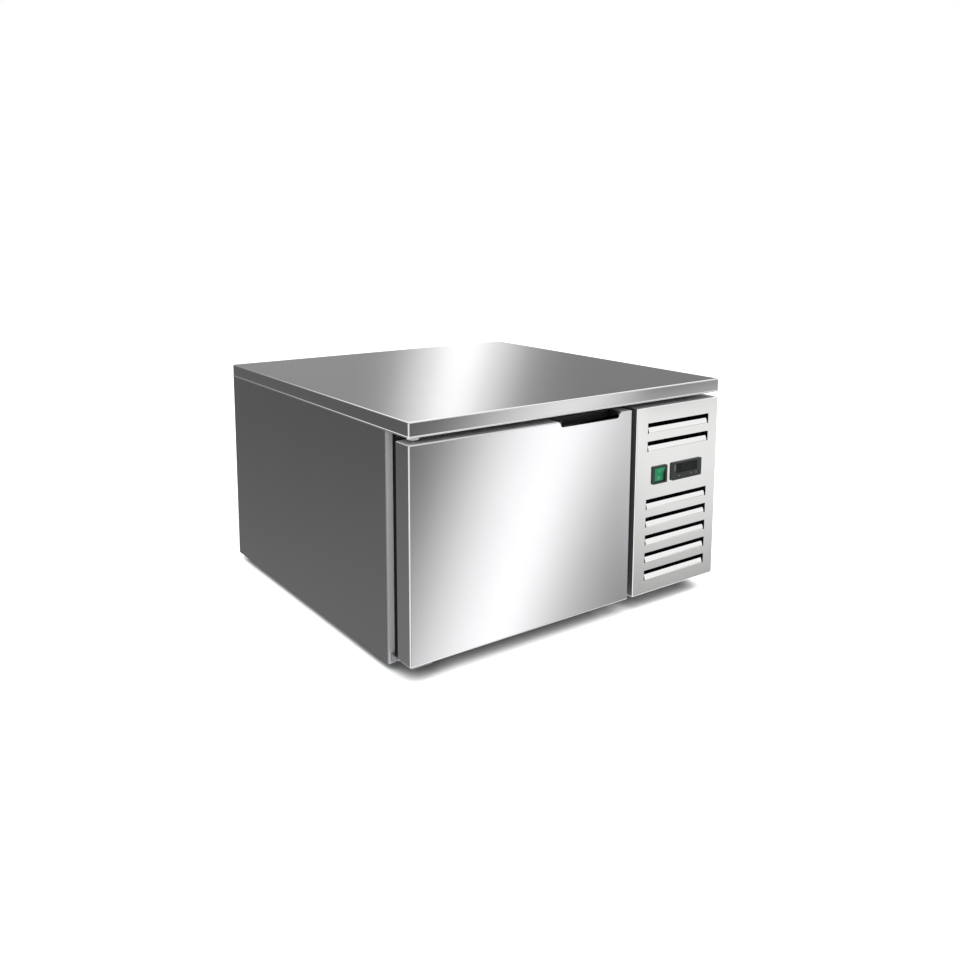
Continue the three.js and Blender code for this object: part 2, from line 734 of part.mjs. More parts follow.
// A fan motor on a strap whose two legs stand on the plate, beside its hole; the fan runs between them.
function fanMotor(plateBack, holeRadius, [x, z]) {
  const fanBack = plateBack + FAN_PLATE_GAP + FAN_THICKNESS;
  const front = fanBack + MOTOR_GAP;
  const back = front + MOTOR_LENGTH;
  const strapReach = holeRadius + MOTOR_LEG_MARGIN + MOTOR_STRAP_SHEET;
  const strapZ = around(z, MOTOR_STRAP_WIDTH);
  const strap = [front, front + MOTOR_STRAP_SHEET];
  const legs = [x - strapReach, x + strapReach - MOTOR_STRAP_SHEET].map((left) =>
    block([left, left + MOTOR_STRAP_SHEET], [plateBack + SEAM, strap[1]], strapZ),
  );
  return joined([
    rod(MOTOR_RADIUS, [front, back], "y", [x, z]),
    block([x - strapReach, x + strapReach], strap, strapZ),
    ...legs,
  ]);
}

// A finned block that runs into two end plates, which stand on the floor below or reach the wall behind.
function finnedCoil({ x, y, z, plateY, plateZ }) {
  const fins = [];
  const pitch = (x[1] - x[0]) / COIL_FIN_GROOVES;
  for (let i = 0; i < COIL_FIN_GROOVES; i++) {
    const left = x[0] + pitch * (i + 0.5) - COIL_FIN_GROOVE / 2;
    fins.push(block([left, left + COIL_FIN_GROOVE], [y[0] - PAST, y[0] + COIL_FIN_DEPTH], [
      z[0] - PAST,
      z[1] + PAST,
    ]));
  }
  return joined([
    cutFrom(block(shrunk(x, -COIL_END_PLATE / 2), y, z), fins),
    block([x[0] - COIL_END_PLATE, x[0]], plateY, plateZ),
    block([x[1], x[1] + COIL_END_PLATE], plateY, plateZ),
  ]);
}

// Return bends on a coil's end plate, evenly spaced up its height.
function returnBends(plateX, back, [low, high]) {
  const bends = [];
  const pitch = (high - low) / (COIL_BENDS + 1);
  const reach = 2 * COIL_TUBE_RADIUS;
  for (let i = 1; i <= COIL_BENDS; i++) {
    const [below, above] = around(low + pitch * i, pitch / 2);
    const corners = [
      [plateX - PAST, back, below],
      [plateX + reach, back, below],
      [plateX + reach, back, above],
      [plateX - PAST, back, above],
    ];
    bends.push(tube(corners, COIL_TUBE_RADIUS, reach - SEAM, BEND_STEP, BEND_SIDES));
  }
  return bends;
}

const evaporatorX = [chamber.x[0] + EVAPORATOR_MARGIN, chamber.x[1] - EVAPORATOR_MARGIN];

function evaporatorCoil() {
  const z = shrunk(chamber.z, EVAPORATOR_FLOOR_GAP);
  return finnedCoil({
    x: evaporatorX,
    y: [evaporatorFront, evaporatorBack],
    z,
    plateY: [evaporatorFront - COIL_PLATE_MARGIN, chamber.y[1] - SEAM],
    plateZ: shrunk(z, -COIL_PLATE_MARGIN),
  });
}

function airSensor() {
  const x = chamber.x[1] - SENSOR_WALL_GAP;
  const z = around(chamber.z[1] - SENSOR_LENGTH, SENSOR_LENGTH);
  const y = coverFront - SEAM - SENSOR_RADIUS;
  const clipZ = around(middle(z), SENSOR_CLIP_HEIGHT);
  return rod(SENSOR_RADIUS, z, "z", [x, y], SMALL_SIDES).add(
    block(around(x, SENSOR_CLIP_WIDTH), [y, coverFront - SEAM], clipZ),
  );
}

// ---- Condensing unit ----
function unitTray() {
  const x = shrunk(bay.x, TRAY_MARGIN);
  const lip = [insideBottom, insideBottom + TRAY_LIP];
  return joined([
    block(x, trayY, [insideBottom, trayTop]),
    block([x[0], x[0] + TRAY_SHEET], trayY, lip),
    block([x[1] - TRAY_SHEET, x[1]], trayY, lip),
  ]);
}

const coilX = shrunk(bay.x, COIL_SIDE_MARGIN + COIL_END_PLATE);
const coilY = [coilFront, coilBack];
const coilZ = [unitFloor + TRAY_LIP, coilTop];

function condenserCoil() {
  const coil = finnedCoil({
    x: coilX,
    y: coilY,
    z: coilZ,
    plateY: coilY,
    plateZ: [unitFloor, coilTop],
  });
  return joined([coil, ...returnBends(coilX[1] + COIL_END_PLATE, middle(coilY), coilZ)]);
}

function fanShroud() {
  const x = shrunk(coilX, -COIL_END_PLATE);
  const hole = rod(SHROUD_HOLE_RADIUS, shrunk(shroudY, -PAST), "y", condenserFanCentre);
  return block(x, shroudY, [unitFloor, coilTop]).subtract(hole);
}

const compressorFloor = unitFloor + COMPRESSOR_LEG_HEIGHT + COMPRESSOR_PLATE_SHEET + SEAM;

function compressorShell() {
  return turned([
    [0, 0],
    [COMPRESSOR_RADIUS - COMPRESSOR_SHOULDER, 0],
    [COMPRESSOR_RADIUS, COMPRESSOR_SHOULDER],
    ...dome(COMPRESSOR_RADIUS, COMPRESSOR_DOME, COMPRESSOR_HEIGHT - COMPRESSOR_DOME).reverse(),
  ]);
}

function compressorPlate() {
  const x = around(0, COMPRESSOR_PLATE_WIDTH);
  const y = around(0, COMPRESSOR_PLATE_DEPTH);
  const plateZ = [COMPRESSOR_LEG_HEIGHT, COMPRESSOR_LEG_HEIGHT + COMPRESSOR_PLATE_SHEET];
  const pieces = [block(x, y, plateZ)];
  for (const cornerX of shrunk(x, COMPRESSOR_LEG_RADIUS)) {
    for (const cornerY of shrunk(y, COMPRESSOR_LEG_RADIUS)) {
      pieces.push(rod(COMPRESSOR_LEG_RADIUS, [0, plateZ[1]], "z", [cornerX, cornerY], SMALL_SIDES));
    }
  }
  return joined(pieces);
}

function terminalCover() {
  const bottom = compressorFloor + TERMINAL_COVER_LIFT;
  const z = [bottom, bottom + TERMINAL_COVER_HEIGHT];
  return block(around(bayMiddle, TERMINAL_COVER_WIDTH), terminalY, z);
}

// A closed vessel with domed ends, standing on the z axis from zero.
function vessel(radius, rise, height) {
  return turned([...dome(radius, -rise, rise), ...dome(radius, rise, height - rise).reverse()]);
}

function receiver() {
  const stand = rod(RECEIVER_STAND_RADIUS, [0, RECEIVER_DOME], "z", [0, 0]);
  return vessel(RECEIVER_RADIUS, RECEIVER_DOME, RECEIVER_HEIGHT).add(stand);
}

const sideLane = coilX[1] + COIL_END_PLATE + 2 * TUBE_RADIUS;
const coilPort = coilX[1] + COIL_END_PLATE + SEAM;
const coilCentre = middle(coilY);
const sideBend = 2 * TUBE_RADIUS - SEAM;
const compressorTop = compressorFloor + COMPRESSOR_HEIGHT;
const receiverTop = unitFloor + RECEIVER_HEIGHT;
const drierTop = DRIER_BOTTOM + DRIER_HEIGHT;

function dischargeTube() {
  const height = coilZ[1] - TUBE_BEND;
  return tube(
    [
      [bayMiddle, compressorBack, compressorTop + SEAM],
      [bayMiddle, compressorBack, height],
      [sideLane, compressorBack, height],
      [sideLane, coilCentre, height],
      [coilPort, coilCentre, height],
    ],
    TUBE_RADIUS,
    sideBend,
  );
}

function condenserOutletTube() {
  const height = coilZ[0] + TUBE_BEND;
  return tube(
    [
      [coilPort, coilCentre, height],
      [sideLane, coilCentre, height],
      [sideLane, receiverPlace[1], height],
      [receiverPlace[0] + RECEIVER_RADIUS + SEAM, receiverPlace[1], height],
    ],
    TUBE_RADIUS,
    sideBend,
  );
}

function receiverOutletTube() {
  const height = Math.max(receiverTop, drierTop) + 2 * TUBE_BEND;
  return tube(
    [
      [receiverPlace[0], receiverPlace[1], receiverTop + SEAM],
      [receiverPlace[0], receiverPlace[1], height],
      [drierSide, receiverPlace[1], height],
      [drierSide, receiverPlace[1], drierTop + SEAM],
    ],
    TUBE_RADIUS,
  );
}

function evaporatorFeedTube() {
  const low = DRIER_BOTTOM - 2 * TUBE_BEND;
  return tube(
    [
      [drierSide, receiverPlace[1], DRIER_BOTTOM - SEAM],
      [drierSide, receiverPlace[1], low],
      [drierSide, passBack, low],
      [drierSide, passBack, WALL_PASS_HEIGHT],
      [evaporatorX[1] + COIL_END_PLATE + SEAM, passBack, WALL_PASS_HEIGHT],
    ],
    TUBE_RADIUS,
  );
}

function suctionTube() {
  const lane = bay.x[0] + SUCTION_LANE;
  const height = compressorFloor + COMPRESSOR_HEIGHT / 2;
  return tube(
    [
      [evaporatorX[1] + COIL_END_PLATE + SEAM, passBack, suctionPass],
      [lane, passBack, suctionPass],
      [lane, passBack - 2 * TUBE_BEND, suctionPass],
      [lane, compressorBack, height],
      [bayMiddle - COMPRESSOR_RADIUS - SEAM, compressorBack, height],
    ],
    SUCTION_RADIUS,
    SUCTION_BEND,
  );
}

const electricBoxBack = insideRear - ELECTRIC_BOX_REAR_GAP;
const electricBoxTop = bay.z[1] - ELECTRIC_BOX_TOP_GAP;
const electricBox = {
  x: [bay.x[0] + SEAM, bay.x[0] + SEAM + ELECTRIC_BOX_DEPTH],
  y: [electricBoxBack - ELECTRIC_BOX_LENGTH, electricBoxBack],
  z: [electricBoxTop - ELECTRIC_BOX_HEIGHT, electricBoxTop],
};

function electricalBox() {
  return shell(electricBox.x, electricBox.y, electricBox.z, ELECTRIC_BOX_WALL, "right");
}

function electricalBoxCover() {
  const left = electricBox.x[1] + SEAM;
  return block([left, left + ELECTRIC_BOX_WALL], electricBox.y, electricBox.z);
}

function cableGland() {
  const outer = rearFace + SEAM;
  const inner = rearFace - CASING_SHEET - SEAM;
  const body = joined([
    rod(GLAND_RADIUS, [inner - GLAND_NUT, outer + GLAND_DOME], "y", glandPlace, SMALL_SIDES),
    rod(GLAND_NUT_RADIUS, [inner - GLAND_NUT, inner], "y", glandPlace, NUT_SIDES),
    rod(GLAND_NUT_RADIUS, [outer, outer + GLAND_NUT], "y", glandPlace, NUT_SIDES),
  ]);
  return body.subtract(
    rod(GLAND_BORE, [inner - GLAND_NUT - PAST, outer + GLAND_DOME + PAST], "y", glandPlace, SMALL_SIDES),
  );
}

// ---- Service panel ----
const louvreX = [panelLeft + LOUVRE_LEFT_MARGIN, overallWidth - LOUVRE_RIGHT_MARGIN];

// The lower edges of the louvres that fit between two heights, from the top down.
function louvreBottoms(top, floor) {
  const bottoms = [];
  for (let bottom = top - LOUVRE_HEIGHT; bottom >= floor; bottom -= LOUVRE_PITCH) {
    bottoms.push(bottom);
  }
  return bottoms;
}

// A louvre flap, bent in from the lower edge of its cut-out so that it leans away from the face.
function louvreFlap(bottom) {
  const section = polygon([
    [0, bottom - LOUVRE_FOOT],
    [PANEL_SHEET, bottom - LOUVRE_FOOT],
    [PANEL_SHEET + LOUVRE_LEAN, bottom + LOUVRE_FLAP],
    [LOUVRE_LEAN, bottom + LOUVRE_FLAP],
  ]);
  return prism(section, shrunk(louvreX, LOUVRE_END_SLIT), "x");
}

function servicePanel() {
  const through = [-PAST, PANEL_SHEET + PAST];
  const pan = shell(
    [panelLeft, overallWidth],
    [0, FRONT_RECESS - SEAM],
    [doorBottom, doorTop],
    PANEL_SHEET,
    "back",
  );
  const bottoms = [
    ...louvreBottoms(doorTop - UPPER_LOUVRE_DROP, bezel.z[1] + LOUVRE_CLEARANCE),
    ...louvreBottoms(controlZ - LOWER_LOUVRE_DROP, doorBottom + LOUVRE_CLEARANCE),
  ];
  const cuts = bottoms.map((bottom) => block(louvreX, through, [bottom, bottom + LOUVRE_HEIGHT]));
  cuts.push(block(shrunk(controllerBody.x, -SEAM), through, shrunk(controllerBody.z, -SEAM)));
  cuts.push(block(shrunk(switchBody.x, -SEAM), through, shrunk(switchBody.z, -SEAM)));
  return joined([cutFrom(pan, cuts), ...bottoms.map(louvreFlap)]);
}

// ---- Controller and main switch ----
const controlZ = doorTop - CONTROL_DROP;
const switchLeft = panelLeft + SWITCH_MARGIN;
const switchFrame = {
  x: [switchLeft, switchLeft + SWITCH_FRAME_WIDTH],
  z: around(controlZ, BEZEL_HEIGHT),
};
const bezelLeft = switchFrame.x[1] + CONTROL_SPACING;
const bezel = { x: [bezelLeft, bezelLeft + BEZEL_WIDTH], z: around(controlZ, BEZEL_HEIGHT) };
const controllerBody = { x: shrunk(bezel.x, BEZEL_LIP), z: shrunk(bezel.z, BEZEL_LIP / 2) };
const switchBody = { x: shrunk(switchFrame.x, BEZEL_LIP), z: shrunk(switchFrame.z, BEZEL_LIP / 2) };
const bezelCentre = middle(bezel.x);
const switchCentre = middle(switchFrame.x);
const bezelY = [-CONTROL_PROUD, -SEAM];
const windowX = around(bezelCentre, WINDOW_WIDTH);
const windowZ = around(controlZ + WINDOW_RAISE, WINDOW_HEIGHT);
const buttonFront = -CONTROL_PROUD + BUTTON_SETBACK;

function buttonOutline([x, z], clearance) {
  const width = BUTTON_WIDTH + 2 * clearance;
  const height = BUTTON_HEIGHT + 2 * clearance;
  return roundedRectangle(around(x, width), around(z, height), BUTTON_CORNER + clearance);
}

function controllerHousing() {
  const front = prism(roundedRectangle(bezel.x, bezel.z, BEZEL_CORNER), bezelY, "y");
  const body = block(controllerBody.x, [-SEAM - PAST, CONTROLLER_DEPTH], controllerBody.z);
  const seatY = [-CONTROL_PROUD - PAST, -CONTROL_PROUD + WINDOW_THICKNESS + SEAM];
  const windowSeat = block(shrunk(windowX, -SEAM), seatY, shrunk(windowZ, -SEAM));
  const buttonHoles = BUTTON_PLACES.map((place) =>
    prism(
      buttonOutline([bezelCentre + place, controlZ - BUTTON_DROP], SEAM),
      [-CONTROL_PROUD - PAST, buttonFront + BUTTON_LENGTH + BUTTON_TRAVEL + SEAM],
      "y",
    ),
  );
  return cutFrom(front.add(body), [windowSeat, ...buttonHoles]);
}

function displayWindow() {
  return block(windowX, [-CONTROL_PROUD, -CONTROL_PROUD + WINDOW_THICKNESS], windowZ);
}

function controllerButton() {
  return prism(buttonOutline([0, 0], 0), [0, BUTTON_LENGTH], "y");
}

const rockerRoom = BEZEL_HEIGHT / 2 - SWITCH_END_RIM;
const rockerRadius = rockerRoom - SEAM;
const rockerWidth = SWITCH_FRAME_WIDTH - 2 * SWITCH_SIDE_RIM;

function switchHousing() {
  const front = prism(roundedRectangle(switchFrame.x, switchFrame.z, BEZEL_CORNER), bezelY, "y");
  const body = block(switchBody.x, [-SEAM - PAST, SWITCH_BODY_DEPTH], switchBody.z);
  const well = block(
    around(switchCentre, rockerWidth + 2 * SEAM),
    [-CONTROL_PROUD - PAST, ROCKER_PIVOT_DEPTH + rockerRoom],
    around(controlZ, 2 * rockerRoom),
  );
  return front.add(body).subtract(well);
}

// The rocker on its pivot at the origin: a round back, and a front of two faces that meet in a valley.
function switchRocker() {
  const valley = ROCKER_FACE_DEPTH - ROCKER_PIVOT_DEPTH;
  const lean = Math.tan(THREE.MathUtils.degToRad(ROCKER_TILT));
  const reach = rockerRadius + PAST;
  const x = around(0, rockerWidth);
  const front = prism(
    polygon([
      [valley, 0],
      [valley - lean * reach, -reach],
      [-reach, -reach],
      [-reach, reach],
      [valley - lean * reach, reach],
    ]),
    shrunk(x, -PAST),
    "x",
  );
  return rod(rockerRadius, x, "x", [0, 0]).subtract(front);
}

// ---- Door: x from its left edge, y back from its face, z up from its lower edge ----
const doorHeight = doorTop - doorBottom;
const linerFace = DOOR_SKIN_DEPTH + DOOR_LINER_STEP;
const grip = {
  x: [DOOR_WIDTH - GRIP_RIGHT_MARGIN - GRIP_WIDTH, DOOR_WIDTH - GRIP_RIGHT_MARGIN],
  y: [CASING_SHEET + SEAM, GRIP_DEPTH],
  z: [doorHeight - GRIP_HEIGHT, doorHeight],
};

function gripNotch(clearance) {
  const [left, right] = shrunk(grip.x, -clearance);
  const bottom = doorHeight - GRIP_NOTCH - clearance;
  const low = shrunk([left, right], GRIP_TAPER);
  const flat = shrunk(low, GRIP_CORNER);
  const outline = new THREE.Shape();
  outline.moveTo(left, doorHeight + PAST);
  outline.lineTo(left, doorHeight);
  outline.lineTo(low[0], bottom + GRIP_CORNER);
  outline.quadraticCurveTo(low[0], bottom, flat[0], bottom);
  outline.lineTo(flat[1], bottom);
  outline.quadraticCurveTo(low[1], bottom, low[1], bottom + GRIP_CORNER);
  outline.lineTo(right, doorHeight);
  outline.lineTo(right, doorHeight + PAST);
  return outline;
}

function hingeBores(z) {
  const radius = HINGE_PIN_RADIUS + SEAM;
  return rod(radius, z, "z", [HINGE_INSET, HINGE_INSET], SMALL_SIDES);
}

function doorSkin() {
  const pan = shell([0, DOOR_WIDTH], [0, DOOR_SKIN_DEPTH], [0, doorHeight], CASING_SHEET, "back");
  return cutFrom(pan, [
    prism(gripNotch(SEAM), [-PAST, CASING_SHEET + PAST], "y"),
    block(shrunk(grip.x, -SEAM), [CASING_SHEET, GRIP_DEPTH + SEAM], [
      doorHeight - CASING_SHEET - PAST,
      doorHeight + PAST,
    ]),
    hingeBores([-PAST, CASING_SHEET + PAST]),
    hingeBores([doorHeight - CASING_SHEET - PAST, doorHeight + PAST]),
  ]);
}

const fillGap = CASING_SHEET + SEAM;
const flangeX = shrunk([0, DOOR_WIDTH], fillGap);
const flangeZ = shrunk([0, doorHeight], fillGap);
const stepX = shrunk([0, DOOR_WIDTH], DOOR_LINER_INSET);
const stepZ = shrunk([0, doorHeight], DOOR_LINER_INSET);
const flangeY = [DOOR_SKIN_DEPTH - DOOR_LINER_SHEET, DOOR_SKIN_DEPTH];

function doorLiner() {
  const inside = DOOR_LINER_SHEET;
  const outer = block(flangeX, flangeY, flangeZ).add(block(stepX, [flangeY[0], linerFace], stepZ));
  return outer.subtract(
    block(shrunk(stepX, inside), [flangeY[0] - PAST, linerFace - inside], shrunk(stepZ, inside)),
  );
}

function doorInsulation() {
  const main = block(flangeX, [fillGap, flangeY[0] - SEAM], flangeZ);
  const gap = DOOR_LINER_SHEET + SEAM;
  const raised = block(shrunk(stepX, gap), [fillGap, linerFace - gap], shrunk(stepZ, gap));
  const reach = HINGE_PIN_REACH + SEAM;
  return cutFrom(main.add(raised), [
    block(shrunk(grip.x, -SEAM), [0, GRIP_DEPTH + SEAM], [grip.z[0] - SEAM, doorHeight]),
    hingeBores([0, reach]),
    hingeBores([doorHeight - reach, doorHeight]),
  ]);
}

// A ring of magnetic gasket: a wide foot on the liner and a narrower bellows towards the frame.
function doorGasket() {
  const y = [linerFace + SEAM, FRONT_RECESS - SEAM];
  const ring = (inset, width, limits) => {
    const x = shrunk([0, DOOR_WIDTH], inset);
    const z = shrunk([0, doorHeight], inset);
    const hole = block(shrunk(x, width), shrunk(limits, -PAST), shrunk(z, width));
    return block(x, limits, z).subtract(hole);
  };
  const layer = (y[1] - y[0]) / 3;
  const neck = shrunk(y, layer);
  return joined([
    ring(GASKET_INSET, GASKET_WIDTH, [y[0], neck[0]]),
    ring(GASKET_INSET + GASKET_GROOVE, GASKET_WIDTH - 2 * GASKET_GROOVE, shrunk(neck, -PAST)),
    ring(GASKET_INSET, GASKET_WIDTH, [neck[1], y[1]]),
  ]);
}

// The grip trough: it fills the notch in the door's face, and fingers reach down behind the face.
function doorHandle() {
  const body = block(grip.x, grip.y, grip.z);
  const belowTop = block(shrunk(grip.x, -PAST), [-PAST, GRIP_DEPTH], [0, doorHeight]);
  const lip = prism(gripNotch(0), [0, grip.y[0] + PAST], "y").intersect(belowTop);
  const pocket = block(
    shrunk(grip.x, GRIP_WALL + GRIP_TAPER),
    [grip.y[0] + GRIP_WALL, grip.y[1] - GRIP_WALL],
    [grip.z[0] + GRIP_WALL, doorHeight + PAST],
  );
  const mouth = block(
    shrunk(grip.x, GRIP_WALL + GRIP_TAPER),
    [-PAST, grip.y[0] + GRIP_WALL + PAST],
    [doorHeight - GRIP_NOTCH + GRIP_RIM, doorHeight + PAST],
  );
  return cutFrom(body.add(lip), [pocket, mouth]);
}

// ---- Hinges ----
function upperHingePlate() {
  const plate = block(hingePlate.x, hingePlate.y, hingePlate.z);
  return plate.subtract(hingeBores([bodyTop - PAST, hingePlate.z[1] + PAST]));
}

function upperHingePin() {
  const z = [doorTop - HINGE_PIN_REACH, hingePlate.z[1]];
  return rod(HINGE_PIN_RADIUS, z, "z", [HINGE_INSET, HINGE_INSET], SMALL_SIDES);
}

function upperHingeBush() {
  const z = [bodyTop - SEAM - HINGE_BUSH_HEIGHT, bodyTop - SEAM];
  const ring = rod(HINGE_BUSH_RADIUS, z, "z", [HINGE_INSET, HINGE_INSET]);
  return ring.subtract(hingeBores(shrunk(z, -PAST)));
}

const bracketTop = doorBottom - BRACKET_DOOR_GAP;

function lowerHingeBracket() {
  const x = [hingeEdge, hingeEdge + BRACKET_WIDTH];
  const back = FRONT_RECESS - SEAM;
  const bracket = joined([
    block(x, [hingeEdge, back], [bracketTop - BRACKET_SHEET, bracketTop]),
    block(x, [back - BRACKET_SHEET, back], [bracketTop - BRACKET_HEIGHT, bracketTop]),
  ]);
  return bracket.subtract(hingeBores([bracketTop - BRACKET_SHEET - PAST, bracketTop + PAST]));
}

function lowerHingePin() {
  const bottom = bracketTop - BRACKET_SHEET;
  const collar = [bracketTop + SEAM, doorBottom - HINGE_RUNNING_GAP];
  return turned(
    [
      [0, bottom],
      [HINGE_PIN_RADIUS, bottom],
      [HINGE_PIN_RADIUS, collar[0]],
      [PIN_COLLAR_RADIUS, collar[0]],
      [PIN_COLLAR_RADIUS, collar[1]],
      [HINGE_PIN_RADIUS, collar[1]],
      [HINGE_PIN_RADIUS, doorBottom + HINGE_PIN_REACH],
      [0, doorBottom + HINGE_PIN_REACH],
    ],
    SMALL_SIDES,
  );
}

// ---- Assembly ----
place("worktop_skin", worktopSkin(), STAINLESS);
place("worktop_core", worktopCore(), FOAM);
place("left_side_panel", sidePanel((x) => x), STAINLESS);
place("right_side_panel", sidePanel((x) => overallWidth - x), STAINLESS);
place("rear_panel", rearPanel(), GALVANISED);
place("base_panel", basePanel(), GALVANISED);
place("top_panel", topPanel(), GALVANISED);
place("front_frame", frontFrame(), STAINLESS);
place("partition_panel", partitionPanel(), GALVANISED);
place("cabinet_insulation", cabinetInsulation(), FOAM);
place("chamber_liner", chamberLiner(), STAINLESS);
place("left_pan_rack", panRack(chamber.x[0], 1), STAINLESS);
place("right_pan_rack", panRack(chamber.x[1], -1), STAINLESS);
place("drain_tube", drainTube(), GREY_PLASTIC, blastChiller, [...drainPlace, 0]);

const footPlaces = {
  front_left_foot: [FOOT_INSET, FRONT_RECESS + FOOT_INSET],
  front_right_foot: [overallWidth - FOOT_INSET, FRONT_RECESS + FOOT_INSET],
  rear_left_foot: [FOOT_INSET, DEPTH - FOOT_INSET],
  rear_right_foot: [overallWidth - FOOT_INSET, DEPTH - FOOT_INSET],
};
for (const [name, [x, y]] of Object.entries(footPlaces)) {
  place(name, foot(), BLACK_RUBBER, blastChiller, [x, y, 0]);
}

const evaporatorFanBack = coverBack + FAN_PLATE_GAP + FAN_THICKNESS / 2;
const guardBack = coverFront - SEAM - GUARD_WIRE_RADIUS;
place("evaporator_cover", evaporatorCover(), STAINLESS);
place("evaporator_fan_guard", fanGuard(), ALUMINIUM, groupAt(chamberMiddle[0], guardBack, chamberMiddle[1]));
place(
  "evaporator_fan_blade",
  fanBlade(COVER_HOLE_RADIUS),
  ALUMINIUM,
  groupAt(chamberMiddle[0], evaporatorFanBack, chamberMiddle[1]),
);
place("evaporator_fan_motor", fanMotor(coverBack, COVER_HOLE_RADIUS, chamberMiddle), BLACK_ENAMEL);
place("evaporator_coil", evaporatorCoil(), ALUMINIUM);
place("air_sensor", airSensor(), BLACK_PLASTIC);

const condenserFanBack = shroudY[1] + FAN_PLATE_GAP + FAN_THICKNESS / 2;
place("condensing_unit_tray", unitTray(), GALVANISED);
place("condenser_coil", condenserCoil(), ALUMINIUM);
place("condenser_fan_shroud", fanShroud(), GALVANISED);
place(
  "condenser_fan_blade",
  fanBlade(SHROUD_HOLE_RADIUS),
  ALUMINIUM,
  groupAt(condenserFanCentre[0], condenserFanBack, condenserFanCentre[1]),
);
place("condenser_fan_motor", fanMotor(shroudY[1], SHROUD_HOLE_RADIUS, condenserFanCentre), BLACK_ENAMEL);
const compressorGroup = groupAt(bayMiddle, compressorBack, 0);
place("compressor_base_plate", compressorPlate(), BLACK_ENAMEL, compressorGroup, [0, 0, unitFloor]);
place("compressor_shell", compressorShell(), BLACK_ENAMEL, compressorGroup, [0, 0, compressorFloor]);
place("compressor_terminal_cover", terminalCover(), BLACK_PLASTIC);
place("liquid_receiver", receiver(), BLACK_ENAMEL, groupAt(...receiverPlace, unitFloor));
const drierGroup = groupAt(drierSide, receiverPlace[1], DRIER_BOTTOM);
place("filter_drier", vessel(DRIER_RADIUS, DRIER_DOME, DRIER_HEIGHT), COPPER, drierGroup);
place("discharge_tube", dischargeTube(), COPPER);
place("condenser_outlet_tube", condenserOutletTube(), COPPER);
place("receiver_outlet_tube", receiverOutletTube(), COPPER);
place("evaporator_feed_tube", evaporatorFeedTube(), COPPER);
place("suction_tube", suctionTube(), COPPER);
place("electrical_box", electricalBox(), GREY_PLASTIC);
place("electrical_box_cover", electricalBoxCover(), GREY_PLASTIC);
place("cable_gland", cableGland(), BLACK_PLASTIC);

place("service_panel", servicePanel(), STAINLESS);
place("controller_housing", controllerHousing(), BLACK_PLASTIC);
place("display_window", displayWindow(), DARK_LENS);
const buttonRow = groupAt(bezelCentre, buttonFront, controlZ - BUTTON_DROP);
BUTTON_PLACES.forEach((x, i) => {
  place(`controller_button_${i + 1}`, controllerButton(), GREY_PLASTIC, buttonRow, [x, 0, 0]);
});
place("switch_housing", switchHousing(), BLACK_PLASTIC);
const rockerMount = groupAt(switchCentre, ROCKER_PIVOT_DEPTH, controlZ);
rockerMount.rotation.x = THREE.MathUtils.degToRad(ROCKER_TILT);
place("switch_rocker", switchRocker(), GREEN_LENS, rockerMount);

const door = groupAt(0, 0, doorBottom);
place("door_outer_skin", doorSkin(), STAINLESS, door);
place("door_insulation", doorInsulation(), FOAM, door);
place("door_inner_liner", doorLiner(), STAINLESS, door);
place("door_gasket", doorGasket(), BLACK_RUBBER, door);
place("door_handle", doorHandle(), BLACK_PLASTIC, door);
place("upper_hinge_plate", upperHingePlate(), GALVANISED);
place("upper_hinge_pin", upperHingePin(), GALVANISED);
place("upper_hinge_bush", upperHingeBush(), WHITE_NYLON);
place("lower_hinge_bracket", lowerHingeBracket(), GALVANISED);
place("lower_hinge_pin", lowerHingePin(), GALVANISED, blastChiller, [HINGE_INSET, HINGE_INSET, 0]);

export default blastChiller;
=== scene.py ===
"""Looks for a counter-top blast chiller: folded sheet steel, moulded parts and a soft studio.

Lengths are in metres, in the CAD frame: +X to the right, +Y to the rear, +Z up, the door facing -Y.
"""

import json
import math

import bmesh
import bpy
from mathutils import Matrix, Vector


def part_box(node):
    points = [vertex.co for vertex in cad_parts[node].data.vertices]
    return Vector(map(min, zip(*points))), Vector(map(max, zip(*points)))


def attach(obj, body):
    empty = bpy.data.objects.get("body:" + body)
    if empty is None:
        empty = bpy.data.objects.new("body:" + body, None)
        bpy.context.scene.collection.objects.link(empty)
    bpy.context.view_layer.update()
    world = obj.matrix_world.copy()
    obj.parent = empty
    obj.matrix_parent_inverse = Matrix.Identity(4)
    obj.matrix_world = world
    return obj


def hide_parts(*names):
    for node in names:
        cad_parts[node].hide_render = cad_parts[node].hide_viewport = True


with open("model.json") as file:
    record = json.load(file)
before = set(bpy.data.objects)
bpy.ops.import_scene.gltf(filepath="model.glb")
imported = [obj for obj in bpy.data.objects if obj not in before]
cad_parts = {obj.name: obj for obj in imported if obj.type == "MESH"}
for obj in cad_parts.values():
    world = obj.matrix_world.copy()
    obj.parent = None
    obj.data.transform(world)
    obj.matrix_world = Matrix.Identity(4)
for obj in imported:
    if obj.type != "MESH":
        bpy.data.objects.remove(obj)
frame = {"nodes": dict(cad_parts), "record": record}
scene = bpy.context.scene
nodes = frame["nodes"]
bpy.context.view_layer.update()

MM = 0.001
X, Y, Z = range(3)
MERGE_DISTANCE = 1e-6
ON_PLANE = 1e-5
FLAT_ANGLE = math.radians(0.6)
SHARP_ANGLE = math.radians(28)


